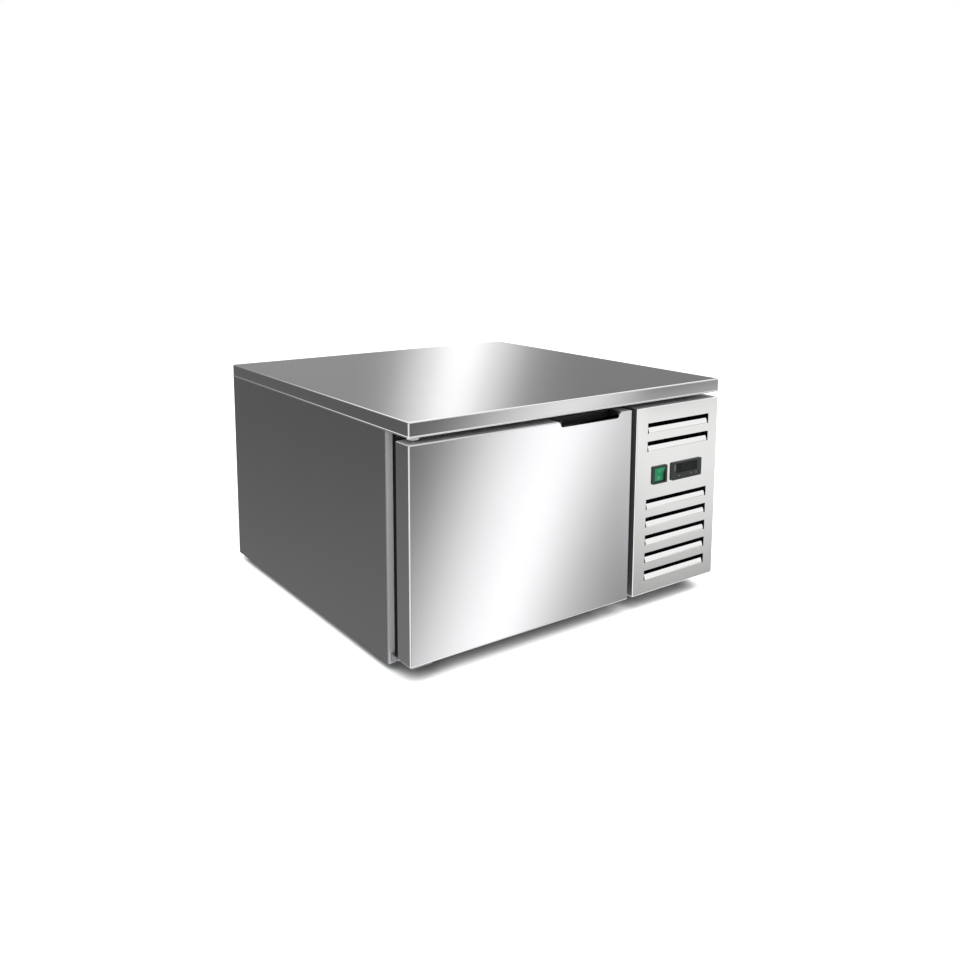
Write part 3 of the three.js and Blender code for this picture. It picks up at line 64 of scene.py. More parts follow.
# ---- Numbers that vary over a surface, built from shader nodes ----
class Field:
    """One number per surface point. Arithmetic on fields adds math nodes."""

    def __init__(self, tree, socket):
        self.tree = tree
        self.socket = socket

    def _math(self, operation, *inputs):
        node = self.tree.nodes.new("ShaderNodeMath")
        node.operation = operation
        for slot, value in zip(node.inputs, inputs):
            if isinstance(value, Field):
                self.tree.links.new(value.socket, slot)
            else:
                slot.default_value = value
        return Field(self.tree, node.outputs[0])

    def __add__(self, other):
        return self._math("ADD", self, other)

    def __sub__(self, other):
        return self._math("SUBTRACT", self, other)

    def __rsub__(self, other):
        return self._math("SUBTRACT", other, self)

    def __mul__(self, other):
        return self._math("MULTIPLY", self, other)

    __radd__ = __add__
    __rmul__ = __mul__

    def size(self):
        return self._math("ABSOLUTE", self)

    def turn(self, other):
        """The angle, in degrees, of the direction whose sine is this field and cosine the other."""
        return self._math("ARCTAN2", self, other) * math.degrees(1)

    def rise(self):
        """The angle, in degrees, whose sine this field is."""
        return self._math("ARCSINE", self) * math.degrees(1)

    def larger(self, other):
        return self._math("MAXIMUM", self, other)

    def step(self, low, high):
        """0 below low, 1 above high and smooth between them; low may be the larger one."""
        node = self.tree.nodes.new("ShaderNodeMapRange")
        node.interpolation_type = "SMOOTHSTEP"
        flipped = low > high
        self.tree.links.new(self.socket, node.inputs["Value"])
        node.inputs["From Min"].default_value = min(low, high)
        node.inputs["From Max"].default_value = max(low, high)
        node.inputs["To Min"].default_value = float(flipped)
        node.inputs["To Max"].default_value = float(not flipped)
        return Field(self.tree, node.outputs["Result"])

    def window(self, outer_low, low, high, outer_high):
        """1 from low to high, falling to 0 at the outer values."""
        return self.step(outer_low, low) * self.step(outer_high, high)

    def toward(self, value, share):
        """This field where share is 0, value where it is 1."""
        return self + (value - self) * share

    def curve(self, points):
        """A smooth curve through (x, y) points, flat beyond the ends, for y from 0 to 1."""
        node = self.tree.nodes.new("ShaderNodeFloatCurve")
        first, last = points[0][0], points[-1][0]
        places = (self - first) * (1 / (last - first))
        self.tree.links.new(places.socket, node.inputs["Value"])
        line = node.mapping.curves[0]
        node.mapping.extend = "HORIZONTAL"
        for x, y in points[1:-1]:
            line.points.new((x - first) / (last - first), y)
        line.points[0].location = (0, points[0][1])
        line.points[-1].location = (1, points[-1][1])
        node.mapping.update()
        return Field(self.tree, node.outputs[0])


def object_axes(tree):
    """The x, y and z fields of a material's object coordinates."""
    coordinates = tree.nodes.new("ShaderNodeTexCoord")
    axes = tree.nodes.new("ShaderNodeSeparateXYZ")
    tree.links.new(coordinates.outputs["Object"], axes.inputs[0])
    return [Field(tree, socket) for socket in axes.outputs]


def noise(tree, scale, detail=3):
    """Noise from -0.5 to 0.5, with its cells 1/scale across along x, y and z."""
    coordinates = tree.nodes.new("ShaderNodeTexCoord")
    mapping = tree.nodes.new("ShaderNodeMapping")
    mapping.inputs["Scale"].default_value = scale if isinstance(scale, tuple) else (scale,) * 3
    texture = tree.nodes.new("ShaderNodeTexNoise")
    texture.inputs["Scale"].default_value = 1
    texture.inputs["Detail"].default_value = detail
    tree.links.new(coordinates.outputs["Object"], mapping.inputs["Vector"])
    tree.links.new(mapping.outputs[0], texture.inputs["Vector"])
    return Field(tree, texture.outputs["Fac"]) - 0.5


def cells(tree, scale, shaded=False):
    """Cells 1/scale across: each one's own random shade, or the distance from its centre."""
    coordinates = tree.nodes.new("ShaderNodeTexCoord")
    texture = tree.nodes.new("ShaderNodeTexVoronoi")
    texture.inputs["Scale"].default_value = scale
    tree.links.new(coordinates.outputs["Object"], texture.inputs["Vector"])
    if not shaded:
        return Field(tree, texture.outputs["Distance"])
    shades = tree.nodes.new("ShaderNodeSeparateColor")
    tree.links.new(texture.outputs["Color"], shades.inputs[0])
    return Field(tree, shades.outputs[0])


# ---- Materials ----
def painted(name, dark, light, tone, roughness, bump, depth, **settings):
    """A material from three functions that make its tone, its roughness and its relief.

    The colour goes from dark to light as the tone goes from -0.5 to 0.5. The depth is the relief's.
    """
    material = bpy.data.materials.new(name)
    material.use_nodes = True
    tree = material.node_tree
    shader = tree.nodes["Principled BSDF"]
    for key, value in settings.items():
        shader.inputs[key.replace("_", " ").title().replace("Ior", "IOR")].default_value = value
    ramp = tree.nodes.new("ShaderNodeValToRGB")
    ramp.color_ramp.elements[0].color = (*dark, 1)
    ramp.color_ramp.elements[1].color = (*light, 1)
    tree.links.new((tone(tree) + 0.5).socket, ramp.inputs["Fac"])
    tree.links.new(ramp.outputs["Color"], shader.inputs["Base Color"])
    tree.links.new(roughness(tree).socket, shader.inputs["Roughness"])
    relief = tree.nodes.new("ShaderNodeBump")
    relief.inputs["Distance"].default_value = depth
    tree.links.new(bump(tree).socket, relief.inputs["Height"])
    tree.links.new(relief.outputs["Normal"], shader.inputs["Normal"])
    return material


# Noise scales that stretch the cells into brush strokes along one axis.
GRAIN = {"x": (9, 900, 900), "z": (900, 900, 9)}
GRAIN_DEPTH = 0.004 * MM
SPANGLE_SCALE = 90
PORE_SCALE = 700
CHIP_SCALE = 260


def steel(name, colour, roughness, axis, grain=1.0, **settings):
    """Brushed sheet steel with its grain along one axis, faint smudges and slight tone changes."""
    dark = [c * 0.96 for c in colour]
    light = [min(1, c * 1.03) for c in colour]

    def tone(tree):
        return noise(tree, GRAIN[axis]) * 0.8 * grain + noise(tree, 7) * 0.8

    def rough(tree):
        return noise(tree, GRAIN[axis]) * 0.08 * grain + noise(tree, 5) * 0.05 + roughness

    def brushed(tree):
        return noise(tree, GRAIN[axis], detail=2)

    metal = {"metallic": 1.0, **settings}
    return painted(name, dark, light, tone, rough, brushed, GRAIN_DEPTH * grain, **metal)


def moulded(name, colour, roughness, pores=2500, depth=0.03, **settings):
    """Moulded plastic, rubber or enamel with a fine skin texture and slight wear."""
    dark = [c * 0.85 for c in colour]
    light = [min(1, c * 1.15 + 0.004) for c in colour]

    def tone(tree):
        return noise(tree, 60) * 1.2

    def rough(tree):
        return noise(tree, 45) * 0.12 + noise(tree, pores) * 0.05 + roughness

    def skin(tree):
        return noise(tree, pores, detail=2)

    return painted(name, dark, light, tone, rough, skin, depth * MM, **settings)


def spangled(name, colour, roughness):
    """Galvanised sheet with its zinc crystals."""
    dark = [c * 0.86 for c in colour]
    light = [min(1, c * 1.1) for c in colour]

    def tone(tree):
        return cells(tree, SPANGLE_SCALE, shaded=True) - 0.5 + noise(tree, 12) * 0.4

    def rough(tree):
        return (cells(tree, SPANGLE_SCALE, shaded=True) - 0.5) * 0.14 + roughness

    def crystals(tree):
        return cells(tree, SPANGLE_SCALE, shaded=True) + noise(tree, 400)

    return painted(name, dark, light, tone, rough, crystals, 0.01 * MM, metallic=1.0)


def foamed(name, colour):
    """Cut rigid foam with open pores."""
    dark = [c * 0.72 for c in colour]

    def tone(tree):
        return cells(tree, PORE_SCALE) * 0.9 - 0.4 + noise(tree, 30) * 0.6

    def rough(tree):
        return noise(tree, 90) * 0.1 + 0.9

    def pores(tree):
        return cells(tree, PORE_SCALE)

    return painted(name, dark, colour, tone, rough, pores, 0.3 * MM)


def pressed_board(name, colour):
    """Particle board: chips pressed flat."""
    dark = [c * 0.6 for c in colour]

    def tone(tree):
        return cells(tree, CHIP_SCALE, shaded=True) - 0.5 + noise(tree, 40) * 0.5

    def rough(tree):
        return noise(tree, 200) * 0.15 + 0.85

    def chips(tree):
        return cells(tree, CHIP_SCALE, shaded=True)

    return painted(name, dark, colour, tone, rough, chips, 0.1 * MM)


STEEL = (0.62, 0.62, 0.63)
# One material for each slot in the record.
materials = {
    "worktop_steel": steel("worktop_steel", STEEL, 0.1, "x", 0.6),
    "side_steel": steel("side_steel", (0.5, 0.5, 0.51), 0.22, "z"),
    "door_steel": steel("door_steel", STEEL, 0.1, "z", 0.6),
    "panel_steel": steel("panel_steel", (0.84, 0.84, 0.83), 0.12, "z", 0.6),
    "frame_steel": steel("frame_steel", (0.52, 0.52, 0.53), 0.32, "z"),
    "inner_steel": steel("inner_steel", (0.56, 0.56, 0.57), 0.3, "x"),
    "hinge_steel": steel("hinge_steel", (0.3, 0.3, 0.31), 0.34, "x"),
    "galvanised": spangled("galvanised", (0.5, 0.52, 0.54), 0.42),
    "coil_aluminium": steel("coil_aluminium", (0.6, 0.61, 0.62), 0.4, "z"),
    "copper": steel("copper", (0.62, 0.3, 0.18), 0.34, "z"),
    "black_enamel": moulded("black_enamel", (0.018, 0.019, 0.02), 0.3, 900, 0.02),
    "black_plastic": moulded("black_plastic", (0.02, 0.0205, 0.021), 0.4),
    "grey_plastic": moulded("grey_plastic", (0.26, 0.28, 0.29), 0.5),
    "button_plastic": moulded("button_plastic", (0.035, 0.038, 0.038), 0.4),
    "display_lens": moulded(
        "display_lens", (0.004, 0.006, 0.0055), 0.14, 300, 0.002, specular_ior_level=0.12
    ),
    "switch_green": moulded("switch_green", (0.005, 0.32, 0.12), 0.22, 300, 0.01),
    "gasket_rubber": moulded("gasket_rubber", (0.03, 0.031, 0.032), 0.62),
    "foot_rubber": moulded("foot_rubber", (0.015, 0.015, 0.015), 0.75),
    "white_nylon": moulded("white_nylon", (0.95, 0.95, 0.96), 0.3),
    "foam": foamed("foam", (0.7, 0.62, 0.36)),
    "board": pressed_board("board", (0.45, 0.45, 0.44)),
}
# Materials for faces that differ from their piece's slot: copies of the sheet steel that paint
# light and shade, a black coat that paints shade, and print.
# Painted light: a pale matt copy of the steel on the left side panel's front return.
painted_light_return_steel = steel("painted_light_return_steel", (0.7, 0.7, 0.71), 0.5, "z", metallic=0.15)
# Painted shade: a dark copy of the steel on the side panels' faces that look forward.
painted_shade_fold_steel = steel("painted_shade_fold_steel", (0.26, 0.26, 0.27), 0.5, "z", metallic=0.4)
# Painted shade: a matt grey copy of the steel on the top returns of the door and the grille.
painted_shade_top_steel = steel("painted_shade_top_steel", (0.56, 0.56, 0.565), 0.5, "x", metallic=0.2)
# Painted shade: a dark copy of the steel on the grille's return beside the door.
painted_shade_gap_steel = steel("painted_shade_gap_steel", (0.13, 0.13, 0.135), 0.5, "z", metallic=0.4)
# Painted shade: a darker copy of the worktop's steel on its front face.
painted_shade_skirt_steel = steel("painted_shade_skirt_steel", (0.465, 0.465, 0.47), 0.11, "x", 0.6)
# Painted shade: a black coat inside the casing, on the right side's front return and on the front
# frame beyond its bare strip.
painted_shade_coat = moulded("painted_shade_coat", (0.012, 0.012, 0.012), 0.85, 900, 0.1)
bezel_plastic = moulded("bezel_plastic", (0.024, 0.031, 0.03), 0.4, specular_ior_level=0.3)
print_grey = moulded("print_grey", (0.26, 0.3, 0.29), 0.45)
unlit_segment = moulded("unlit_segment", (0.016, 0.019, 0.018), 0.3, specular_ior_level=0.2)
print_pale = moulded("print_pale", (0.16, 0.5, 0.3), 0.4)
for part in frame["record"]["subparts"]:
    node = nodes[part["node"]]
    if not node.material_slots:
        node.data.materials.append(None)
    for place in node.material_slots:
        place.material = materials[part["material_slot"]]


# ---- Mesh helpers ----
def cad_shape(node):
    """A CAD node's shape with its triangles merged into flat faces."""
    shape = bmesh.new()
    shape.from_mesh(nodes[node].data)
    bmesh.ops.remove_doubles(shape, verts=shape.verts, dist=MERGE_DISTANCE)
    bmesh.ops.dissolve_limit(
        shape, angle_limit=FLAT_ANGLE, verts=shape.verts, edges=shape.edges
    )
    return shape


def box(node):
    """The low and high corners of a CAD node's box."""
    return [Vector(corner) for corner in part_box(node)]


def middle(node):
    """The middle of a CAD node's box."""
    low, high = box(node)
    return (low + high) / 2


def millimetres(points):
    """Points that are given in millimetres, in metres."""
    return [tuple(value * MM for value in point) for point in points]


def meeting(shape, planes):
    """Edges where two of the planes meet, each given as an axis and a place along it."""
    return [
        edge
        for edge in shape.edges
        if sum(all(abs(v.co[a] - at) < ON_PLANE for v in edge.verts) for a, at in planes) == 2
    ]


def folds(shape, sides):
    """Edges where two of the named sides of the shape's box meet, such as "-y" and "+z"."""
    planes = []
    for sign, letter in sides:
        axis = "xyz".index(letter)
        places = [v.co[axis] for v in shape.verts]
        planes.append((axis, min(places) if sign == "-" else max(places)))
    return meeting(shape, planes)


def split(shape, faces, axis, place):
    """Cuts some faces of a shape along a plane square to an axis."""
    faces = list(faces)
    edges = {edge for face in faces for edge in face.edges}
    verts = {vert for face in faces for vert in face.verts}
    square = Vector([float(k == axis) for k in (X, Y, Z)])
    bmesh.ops.bisect_plane(
        shape, geom=[*verts, *edges, *faces], plane_co=square * place, plane_no=square
    )


def sharp(shape):
    """Edges that turn by more than a shading break."""
    return [edge for edge in shape.edges if edge.calc_face_angle(0) > SHARP_ANGLE]


def rolled(shape, edges, radius, segments, clamp=False):
    """Rounds edges. The radius is the distance from each edge to where the flat begins."""
    bmesh.ops.bevel(
        shape,
        geom=edges,
        offset=radius,
        offset_type="OFFSET",
        segments=segments,
        profile=0.5,
        affect="EDGES",
        clamp_overlap=clamp,
    )


def add_object(name, shape):
    """Turns a shape into an object of the scene."""
    mesh = bpy.data.meshes.new(name)
    shape.to_mesh(mesh)
    shape.free()
    item = bpy.data.objects.new(name, mesh)
    scene.collection.objects.link(item)
    return item


def add_piece(name, shape, slot, body, *stands_for, finish=None):
    """Makes a piece of the object that rides on a body, in its slot's material or a finish."""
    bmesh.ops.dissolve_degenerate(shape, dist=MERGE_DISTANCE, edges=shape.edges)
    bmesh.ops.recalc_face_normals(shape, faces=shape.faces)
    for face in shape.faces:
        face.smooth = True
    for edge in shape.edges:
        edge.smooth = edge.calc_face_angle(0) < SHARP_ANGLE
    piece = add_object(name, shape)
    piece.data.materials.append(finish or materials[slot])
    flat = piece.modifiers.new("flat_faces", "WEIGHTED_NORMAL")
    flat.keep_sharp = True
    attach(piece, body)
    if stands_for:
        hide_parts(*stands_for)
    return piece


def folded_sheet(name, node, slot, body, rim, sides=(), radius=0.0):
    """A copy of a CAD sheet part with rolled folds between the named sides and broken edges."""
    shape = cad_shape(node)
    if sides:
        rolled(shape, folds(shape, sides), radius, FOLD_SEGMENTS)
    rolled(shape, sharp(shape), rim, segments=1, clamp=True)
    return add_piece(name, shape, slot, body, node)


def softened(name, node, slot, body, radius, finish=None):
    """A copy of a CAD part with its sharp edges rounded."""
    shape = cad_shape(node)
    rolled(shape, sharp(shape), radius, segments=2, clamp=True)
    return add_piece(name, shape, slot, body, node, finish=finish)


def paint_light_and_shade(piece, material, chosen):
    """Gives the faces that chosen picks by centre and normal another material, which paints light
    or shade on them.
    """
    index = len(piece.data.materials)
    piece.data.materials.append(material)
    for face in piece.data.polygons:
        if chosen(face.center, face.normal):
            face.material_index = index


def join_rings(shape, rings, closed=False):
    """Adds faces from each ring of points to the next. A ring of one point is a pole."""
    count = max(len(ring) for ring in rings)
    pairs = list(zip(rings, rings[1:])) + ([(rings[-1], rings[0])] if closed else [])
    for near, far in pairs:
        for k in range(count):
            n = k + 1
            corners = [near[k % len(near)], near[n % len(near)]]
            corners += [far[n % len(far)], far[k % len(far)]]
            kept = list(dict.fromkeys(corners))
            if len(kept) > 2:
                shape.faces.new(kept)


def circle(steps):
    """The angles of evenly spaced points round a circle."""
    return [math.tau * step / steps for step in range(steps)]


def lathe(shape, profile, centre, axis, sides, closed=False):
    """Adds a turned body from (radius, height) points, closed to a ring or capped on its axis."""
    u, v = [k for k in (X, Y, Z) if k != axis]
    rings = []
    for radius, height in profile:
        ring = []
        for angle in circle(sides)[: 1 if radius == 0 else sides]:
            place = Vector(centre)
            place[u] += radius * math.cos(angle)
            place[v] += radius * math.sin(angle)
            place[axis] += height
            ring.append(shape.verts.new(place))
        rings.append(ring)
    join_rings(shape, rings, closed)


def sweep(shape, path, radius, sides, closed=False):
    """Adds a round wire or tube along a path."""
    points = [Vector(p) for p in path]
    count = len(points)
    rings = []
    up = None
    for k, point in enumerate(points):
        before = points[k - 1] if closed or k else point
        after = points[(k + 1) % count] if closed or k + 1 < count else point
        along = (after - before).normalized()
        if up is None:
            up = along.orthogonal()
        up = (up - along * up.dot(along)).normalized()
        across = along.cross(up)
        spokes = [up * math.cos(turn) + across * math.sin(turn) for turn in circle(sides)]
        rings.append([shape.verts.new(point + radius * spoke) for spoke in spokes])
    join_rings(shape, rings, closed)
    if not closed:
        shape.faces.new(list(reversed(rings[0])))
        shape.faces.new(rings[-1])


def slab(shape, outline, place):
    """Adds a plate whose outline, in two numbers, and thickness are set by place(a, b, side)."""
    ends = [[shape.verts.new(place(a, b, side)) for a, b in outline] for side in (0, 1)]
    shape.faces.new(ends[0])
    shape.faces.new(reversed(ends[1]))
    join_rings(shape, ends)


# ---- Casing ----
FOLD_RADIUS = 2.2 * MM
SIDE_FOLD_RADIUS = 1.6 * MM
GRILLE_FOLD_RADIUS = 1.8 * MM
FOLD_SEGMENTS = 4
BEAD_RADIUS = 1.6 * MM
BEAD_INSET = 0.3 * MM
BEAD_CORNER = 3 * MM
BEAD_CORNER_STEPS = 5
BEAD_SIDES = 16

# Least part of a face's normal along an axis for the face to count as looking that way.
SQUARELY = 0.95
MAINLY = 0.9
MOSTLY = 0.6
PARTLY = 0.3
HARDLY = 0.05


def worktop():
    """The worktop's steel skin, folded down all round and rolled to a round edge at the bottom."""
    shape = cad_shape("worktop_skin")
    rolled(shape, folds(shape, ("-x", "+x", "-y", "+y", "+z")), FOLD_RADIUS, FOLD_SEGMENTS)
    low, high = box("worktop_skin")
    reach = Vector((high.x - low.x, high.y - low.y)) / 2 - Vector((BEAD_INSET, BEAD_INSET))
    centre = (low + high) / 2
    path = []
    for quarter, (a, b) in enumerate(((1, 1), (-1, 1), (-1, -1), (1, -1))):
        for step in range(BEAD_CORNER_STEPS + 1):
            turn = math.tau / 4 * (quarter + step / BEAD_CORNER_STEPS)
            x = a * (reach.x - BEAD_CORNER) + BEAD_CORNER * math.cos(turn)
            y = b * (reach.y - BEAD_CORNER) + BEAD_CORNER * math.sin(turn)
            path.append((centre.x + x, centre.y + y, low.z + BEAD_RADIUS))
    sweep(shape, path, BEAD_RADIUS, BEAD_SIDES, closed=True)
    piece = add_piece("worktop", shape, "worktop_steel", "cabinet", "worktop_skin")

    def is_skirt(place, normal):
        return normal.y < -SQUARELY and abs(place.y - low.y) < ON_PLANE

    # Painted shade: the front face in a darker copy of the worktop's steel.
    paint_light_and_shade(piece, painted_shade_skirt_steel, is_skirt)


worktop()
# The outer side of each side panel, and which way along x its inside looks.
HANDS = {"left": ("-x", 1), "right": ("+x", -1)}
for hand, (face, inward) in HANDS.items():
    side = folded_sheet(
        hand + "_side", hand + "_side_panel", "side_steel", "cabinet",
        rim=0.2 * MM, sides=(face, "-y", "+y"), radius=SIDE_FOLD_RADIUS,
    )
    # Painted shade: the faces that look forward, the front fold among them, in a dark copy of the
    # steel.
    paint_light_and_shade(side, painted_shade_fold_steel, lambda centre, normal: normal.y < -HARDLY)
    # Painted light on the left front return, a pale matt copy of the steel; painted shade on the
    # right one, the black coat.
    painted_front_return = painted_light_return_steel if hand == "left" else painted_shade_coat
    paint_light_and_shade(side, painted_front_return, lambda centre, normal: normal.y < -SQUARELY)
    # Painted shade: the inside faces in the black coat.
    paint_light_and_shade(side, painted_shade_coat, lambda centre, normal: normal.x * inward > PARTLY)
folded_sheet("back", "rear_panel", "galvanised", "cabinet", rim=0.3 * MM)

# The frame is bare steel between these places along x; beyond them it is painted black as painted
# shade.
BARE_FROM, BARE_TO = -312 * MM, 116.5 * MM


def door_frame():
    """The front frame, painted black beside the door's seal and behind the louvred panel: painted
    shade.
    """
    shape = cad_shape("front_frame")
    split(shape, shape.faces, X, BARE_TO)
    split(shape, shape.faces, X, BARE_FROM)
    rolled(shape, sharp(shape), 0.25 * MM, segments=1, clamp=True)
    piece = add_piece("door_frame", shape, "frame_steel", "cabinet", "front_frame")
    # Painted shade: the frame beyond its bare strip in the black coat.
    paint_light_and_shade(piece, painted_shade_coat, lambda centre, normal: not BARE_FROM < centre.x < BARE_TO)


door_frame()

FLAP_RISE = 10 * MM
FLAP_LEAN = 3 * MM
FLAP_STEPS = 6
FLAP_CURVE = 1.7
# A flap looks mainly to the front, and upwards by a part between these.
FLAP_UP = (0.2, 0.35)
# The door's and the grille's top returns lie above this level.
TOP_RETURNS = 360 * MM
# The grille's return beside the door lies left of this place.
GAP_RETURN = 125 * MM


def is_top_return(centre, normal):
    """Picks the faces folded back along the top edge of the door or the grille."""
    return normal.z > SQUARELY and centre.z > TOP_RETURNS


def curve_flaps(shape):
    """Bends the louvres' straight flaps so that they leave the panel's face in a curve."""
    rooms = []
    for face in shape.faces:
        if face.normal.y < -MAINLY and FLAP_UP[0] < face.normal.z < FLAP_UP[1]:
            across = [v.co.x for v in face.verts]
            top = max(v.co.z for v in face.verts)
            left, right = min(across) - ON_PLANE, max(across) + ON_PLANE
            rooms.append((left, right, top - FLAP_RISE, top + ON_PLANE))
    for left, right, foot, top in rooms:

        def inside(vert):
            return left < vert.co.x < right and foot - ON_PLANE < vert.co.z < top

        for k in range(1, FLAP_STEPS):
            flap = [face for face in shape.faces if all(inside(v) for v in face.verts)]
            split(shape, flap, Z, foot + FLAP_RISE * k / FLAP_STEPS)
        for vert in filter(inside, shape.verts):
            share = (vert.co.z - foot) / FLAP_RISE
            if share > 0.5 / FLAP_STEPS:
                vert.co.y += FLAP_LEAN * (share**FLAP_CURVE - share)


def grille():
    """The louvred service panel, painted black inside as painted shade, with painted shade on its
    top return and its return beside the door.
    """
    shape = cad_shape("service_panel")
    curve_flaps(shape)
    outline = ("-x", "+x", "-y", "-z", "+z")
    rolled(shape, folds(shape, outline), GRILLE_FOLD_RADIUS, FOLD_SEGMENTS)
    rolled(shape, sharp(shape), 0.15 * MM, segments=1, clamp=True)
    piece = add_piece("grille", shape, "panel_steel", "cabinet", "service_panel")
    low, high = box("service_panel")
    heart = (low + high) / 2
    near_edge = (high - low) / 4

    def looks_inwards(centre, normal):
        inwards = heart - centre
        return normal.y > MOSTLY or any(inwards[k] * normal[k] > near_edge[k] for k in (X, Z))

    def is_gap_return(centre, normal):
        return normal.x < -SQUARELY and centre.x < GAP_RETURN

    # Painted shade: the inside in the black coat, the top return in a matt grey copy of the steel
    # and the return beside the door in a dark one.
    paint_light_and_shade(piece, painted_shade_coat, looks_inwards)
    paint_light_and_shade(piece, painted_shade_top_steel, is_top_return)
    paint_light_and_shade(piece, painted_shade_gap_steel, is_gap_return)


grille()
softened("hinge_plate", "upper_hinge_plate", "hinge_steel", "cabinet", radius=0.8 * MM)
softened("hinge_bracket", "lower_hinge_bracket", "hinge_steel", "cabinet", radius=0.8 * MM)
softened("gland", "cable_gland", "black_plastic", "cabinet", radius=0.5 * MM)

# Turned profiles: radius and height, in millimetres.
BUSH = [(4.4, 0), (8.5, 0), (9.1, 0.25), (9.3, 0.8), (9.3, 4.9), (8.9, 5.5), (4.4, 5.5)]
FOOT = [(0, 0), (16.5, 0), (17.6, 0.5), (18, 1.6), (18, 5), (16.4, 9.7), (0, 9.7)]


def turned_piece(name, node, slot, body, profile, sides, closed=False):
    """A turned body that stands on the lower end of a CAD node."""
    shape = bmesh.new()
    centre = middle(node)
    centre.z = box(node)[0].z
    lathe(shape, millimetres(profile), centre, Z, sides, closed)
    return add_piece(name, shape, slot, body, node)


turned_piece("bush", "upper_hinge_bush", "white_nylon", "cabinet", BUSH, sides=64, closed=True)
for corner in ("front_left", "front_right", "rear_left", "rear_right"):
    turned_piece(corner + "_pad", corner + "_foot", "foot_rubber", "cabinet", FOOT, sides=48)

SCREW_FLANGE = [(0, 0), (6.2, 0), (6.2, 0.6), (4.4, 1.1), (0, 1.1)]
SCREW_HEXAGON = [(0, 1), (3.7, 1), (3.7, 3.2), (3, 3.7), (0, 3.7)]
RIVET = [(0, 0), (4.2, 0), (4.2, 0.6), (3.8, 1.4), (2.4, 2), (0, 2.2)]
SCREW_PLACES = [(x, z) for x in (-316, 0, 316) for z in (28, 350)] + [(-316, 190), (316, 190)]
RIVET_PLACES = [(x, z) for x in (-281, 62) for z in (78, 196, 315)]


def fixings(name, places, face, outward, profiles):
    """Heads on an upright face, at places given as x and z; outward is 1 to the rear, else -1."""
    shape = bmesh.new()
    for x, z in millimetres(places):
        for profile, sides in profiles:
            heights = [(radius, height * outward) for radius, height in millimetres(profile)]
            lathe(shape, heights, (x, face, z), Y, sides)
    return add_piece(name, shape, "hinge_steel", "cabinet")


screw = [(SCREW_FLANGE, 24), (SCREW_HEXAGON, 6)]
fixings("rear_screws", SCREW_PLACES, box("rear_panel")[1].y, 1, screw)
fixings("cover_rivets", RIVET_PLACES, box("evaporator_cover")[0].y, -1, [(RIVET, 24)])

# ---- Door ----
door_front = folded_sheet(
    "door_front", "door_outer_skin", "door_steel", "door",
    rim=0.25 * MM, sides=("-x", "+x", "-y", "-z", "+z"), radius=FOLD_RADIUS,
)
# Painted shade: the door's top return, shaded under the worktop, in a matt grey copy of the steel.
paint_light_and_shade(door_front, painted_shade_top_steel, is_top_return)
folded_sheet("door_back", "door_inner_liner", "inner_steel", "door", rim=0.8 * MM)
softened("handle", "door_handle", "black_plastic", "door", radius=0.9 * MM)

# Inset from the outer edge and height over the door's back: a foot, then a bellows.
SEAL = [(6, 0), (14, 0), (14.5, 2), (18, 3.5), (20, 6.5), (20, 11), (17.5, 14.4),
        (2.5, 14.4), (0, 11), (0, 6.5), (2, 3.5), (5.5, 2)]


def seal():
    """The door's seal: one profile round four mitred corners."""
    shape = bmesh.new()
    low, high = box("door_gasket")
    rings = []
    for inset, height in millimetres(SEAL):
        x, z = (low.x + inset, high.x - inset), (low.z + inset, high.z - inset)
        corners = [(x[0], z[0]), (x[1], z[0]), (x[1], z[1]), (x[0], z[1])]
        rings.append([shape.verts.new((a, low.y + height, b)) for a, b in corners])
    join_rings(shape, rings, closed=True)
    add_piece("seal", shape, "gasket_rubber", "door", "door_gasket")


seal()

# ---- Controls ----
softened(
    "bezel", "controller_housing", "black_plastic", "cabinet",
    radius=0.7 * MM, finish=bezel_plastic,
)
softened("switch_frame", "switch_housing", "black_plastic", "cabinet", radius=0.7 * MM)
softened("rocker", "switch_rocker", "switch_green", "main_switch", radius=0.5 * MM)

PRINT_THICKNESS = 0.06 * MM


def on_front(y):
    """Places flat marks, in x and z, on a face that looks to the front at y."""
    return lambda a, b, side: (a, y + PRINT_THICKNESS * (side - 0.5), b)


def pointed_bar(start, end, width):
    """The outline of a bar with pointed ends."""
    start, end = Vector(start), Vector(end)
    along = (end - start).normalized() * width / 2
    across = Vector((-along.y, along.x))
    left = [start, start + along + across, end - along + across]
    return left + [end, end - along - across, start + along - across]


DIGIT_WIDTH, DIGIT_HEIGHT = 5.5 * MM, 9.5 * MM
DIGIT_SPACING = 9 * MM
DIGIT_STROKE = 1 * MM
DIGIT_GAP = 0.2  # between two strokes' tips, as a share of the stroke's width
# The ends of each stroke, in halves of the digit's width and height.
SEGMENTS = [((-1, 1), (1, 1)), ((-1, 0), (1, 0)), ((-1, -1), (1, -1)),
            ((-1, 1), (-1, 0)), ((-1, 0), (-1, -1)), ((1, 1), (1, 0)), ((1, 0), (1, -1))]


def digits():
    """Three unlit seven-segment digits."""
    shape = bmesh.new()
    centre = middle("display_window")
    place = on_front(box("display_window")[0].y)
    for k in (-1, 0, 1):
        x = centre.x + k * DIGIT_SPACING
        for ends in SEGMENTS:
            start, end = [
                Vector((x + a * DIGIT_WIDTH / 2, centre.z + b * DIGIT_HEIGHT / 2)) for a, b in ends
            ]
            gap = (end - start).normalized() * DIGIT_STROKE * DIGIT_GAP
            slab(shape, pointed_bar(start + gap, end - gap, DIGIT_STROKE), place)
    add_piece("digits", shape, "display_lens", "cabinet", finish=unlit_segment)


digits()

PALE_STRIP_MARGIN = 4 * MM
PALE_STRIP_WIDTH = 1.3 * MM


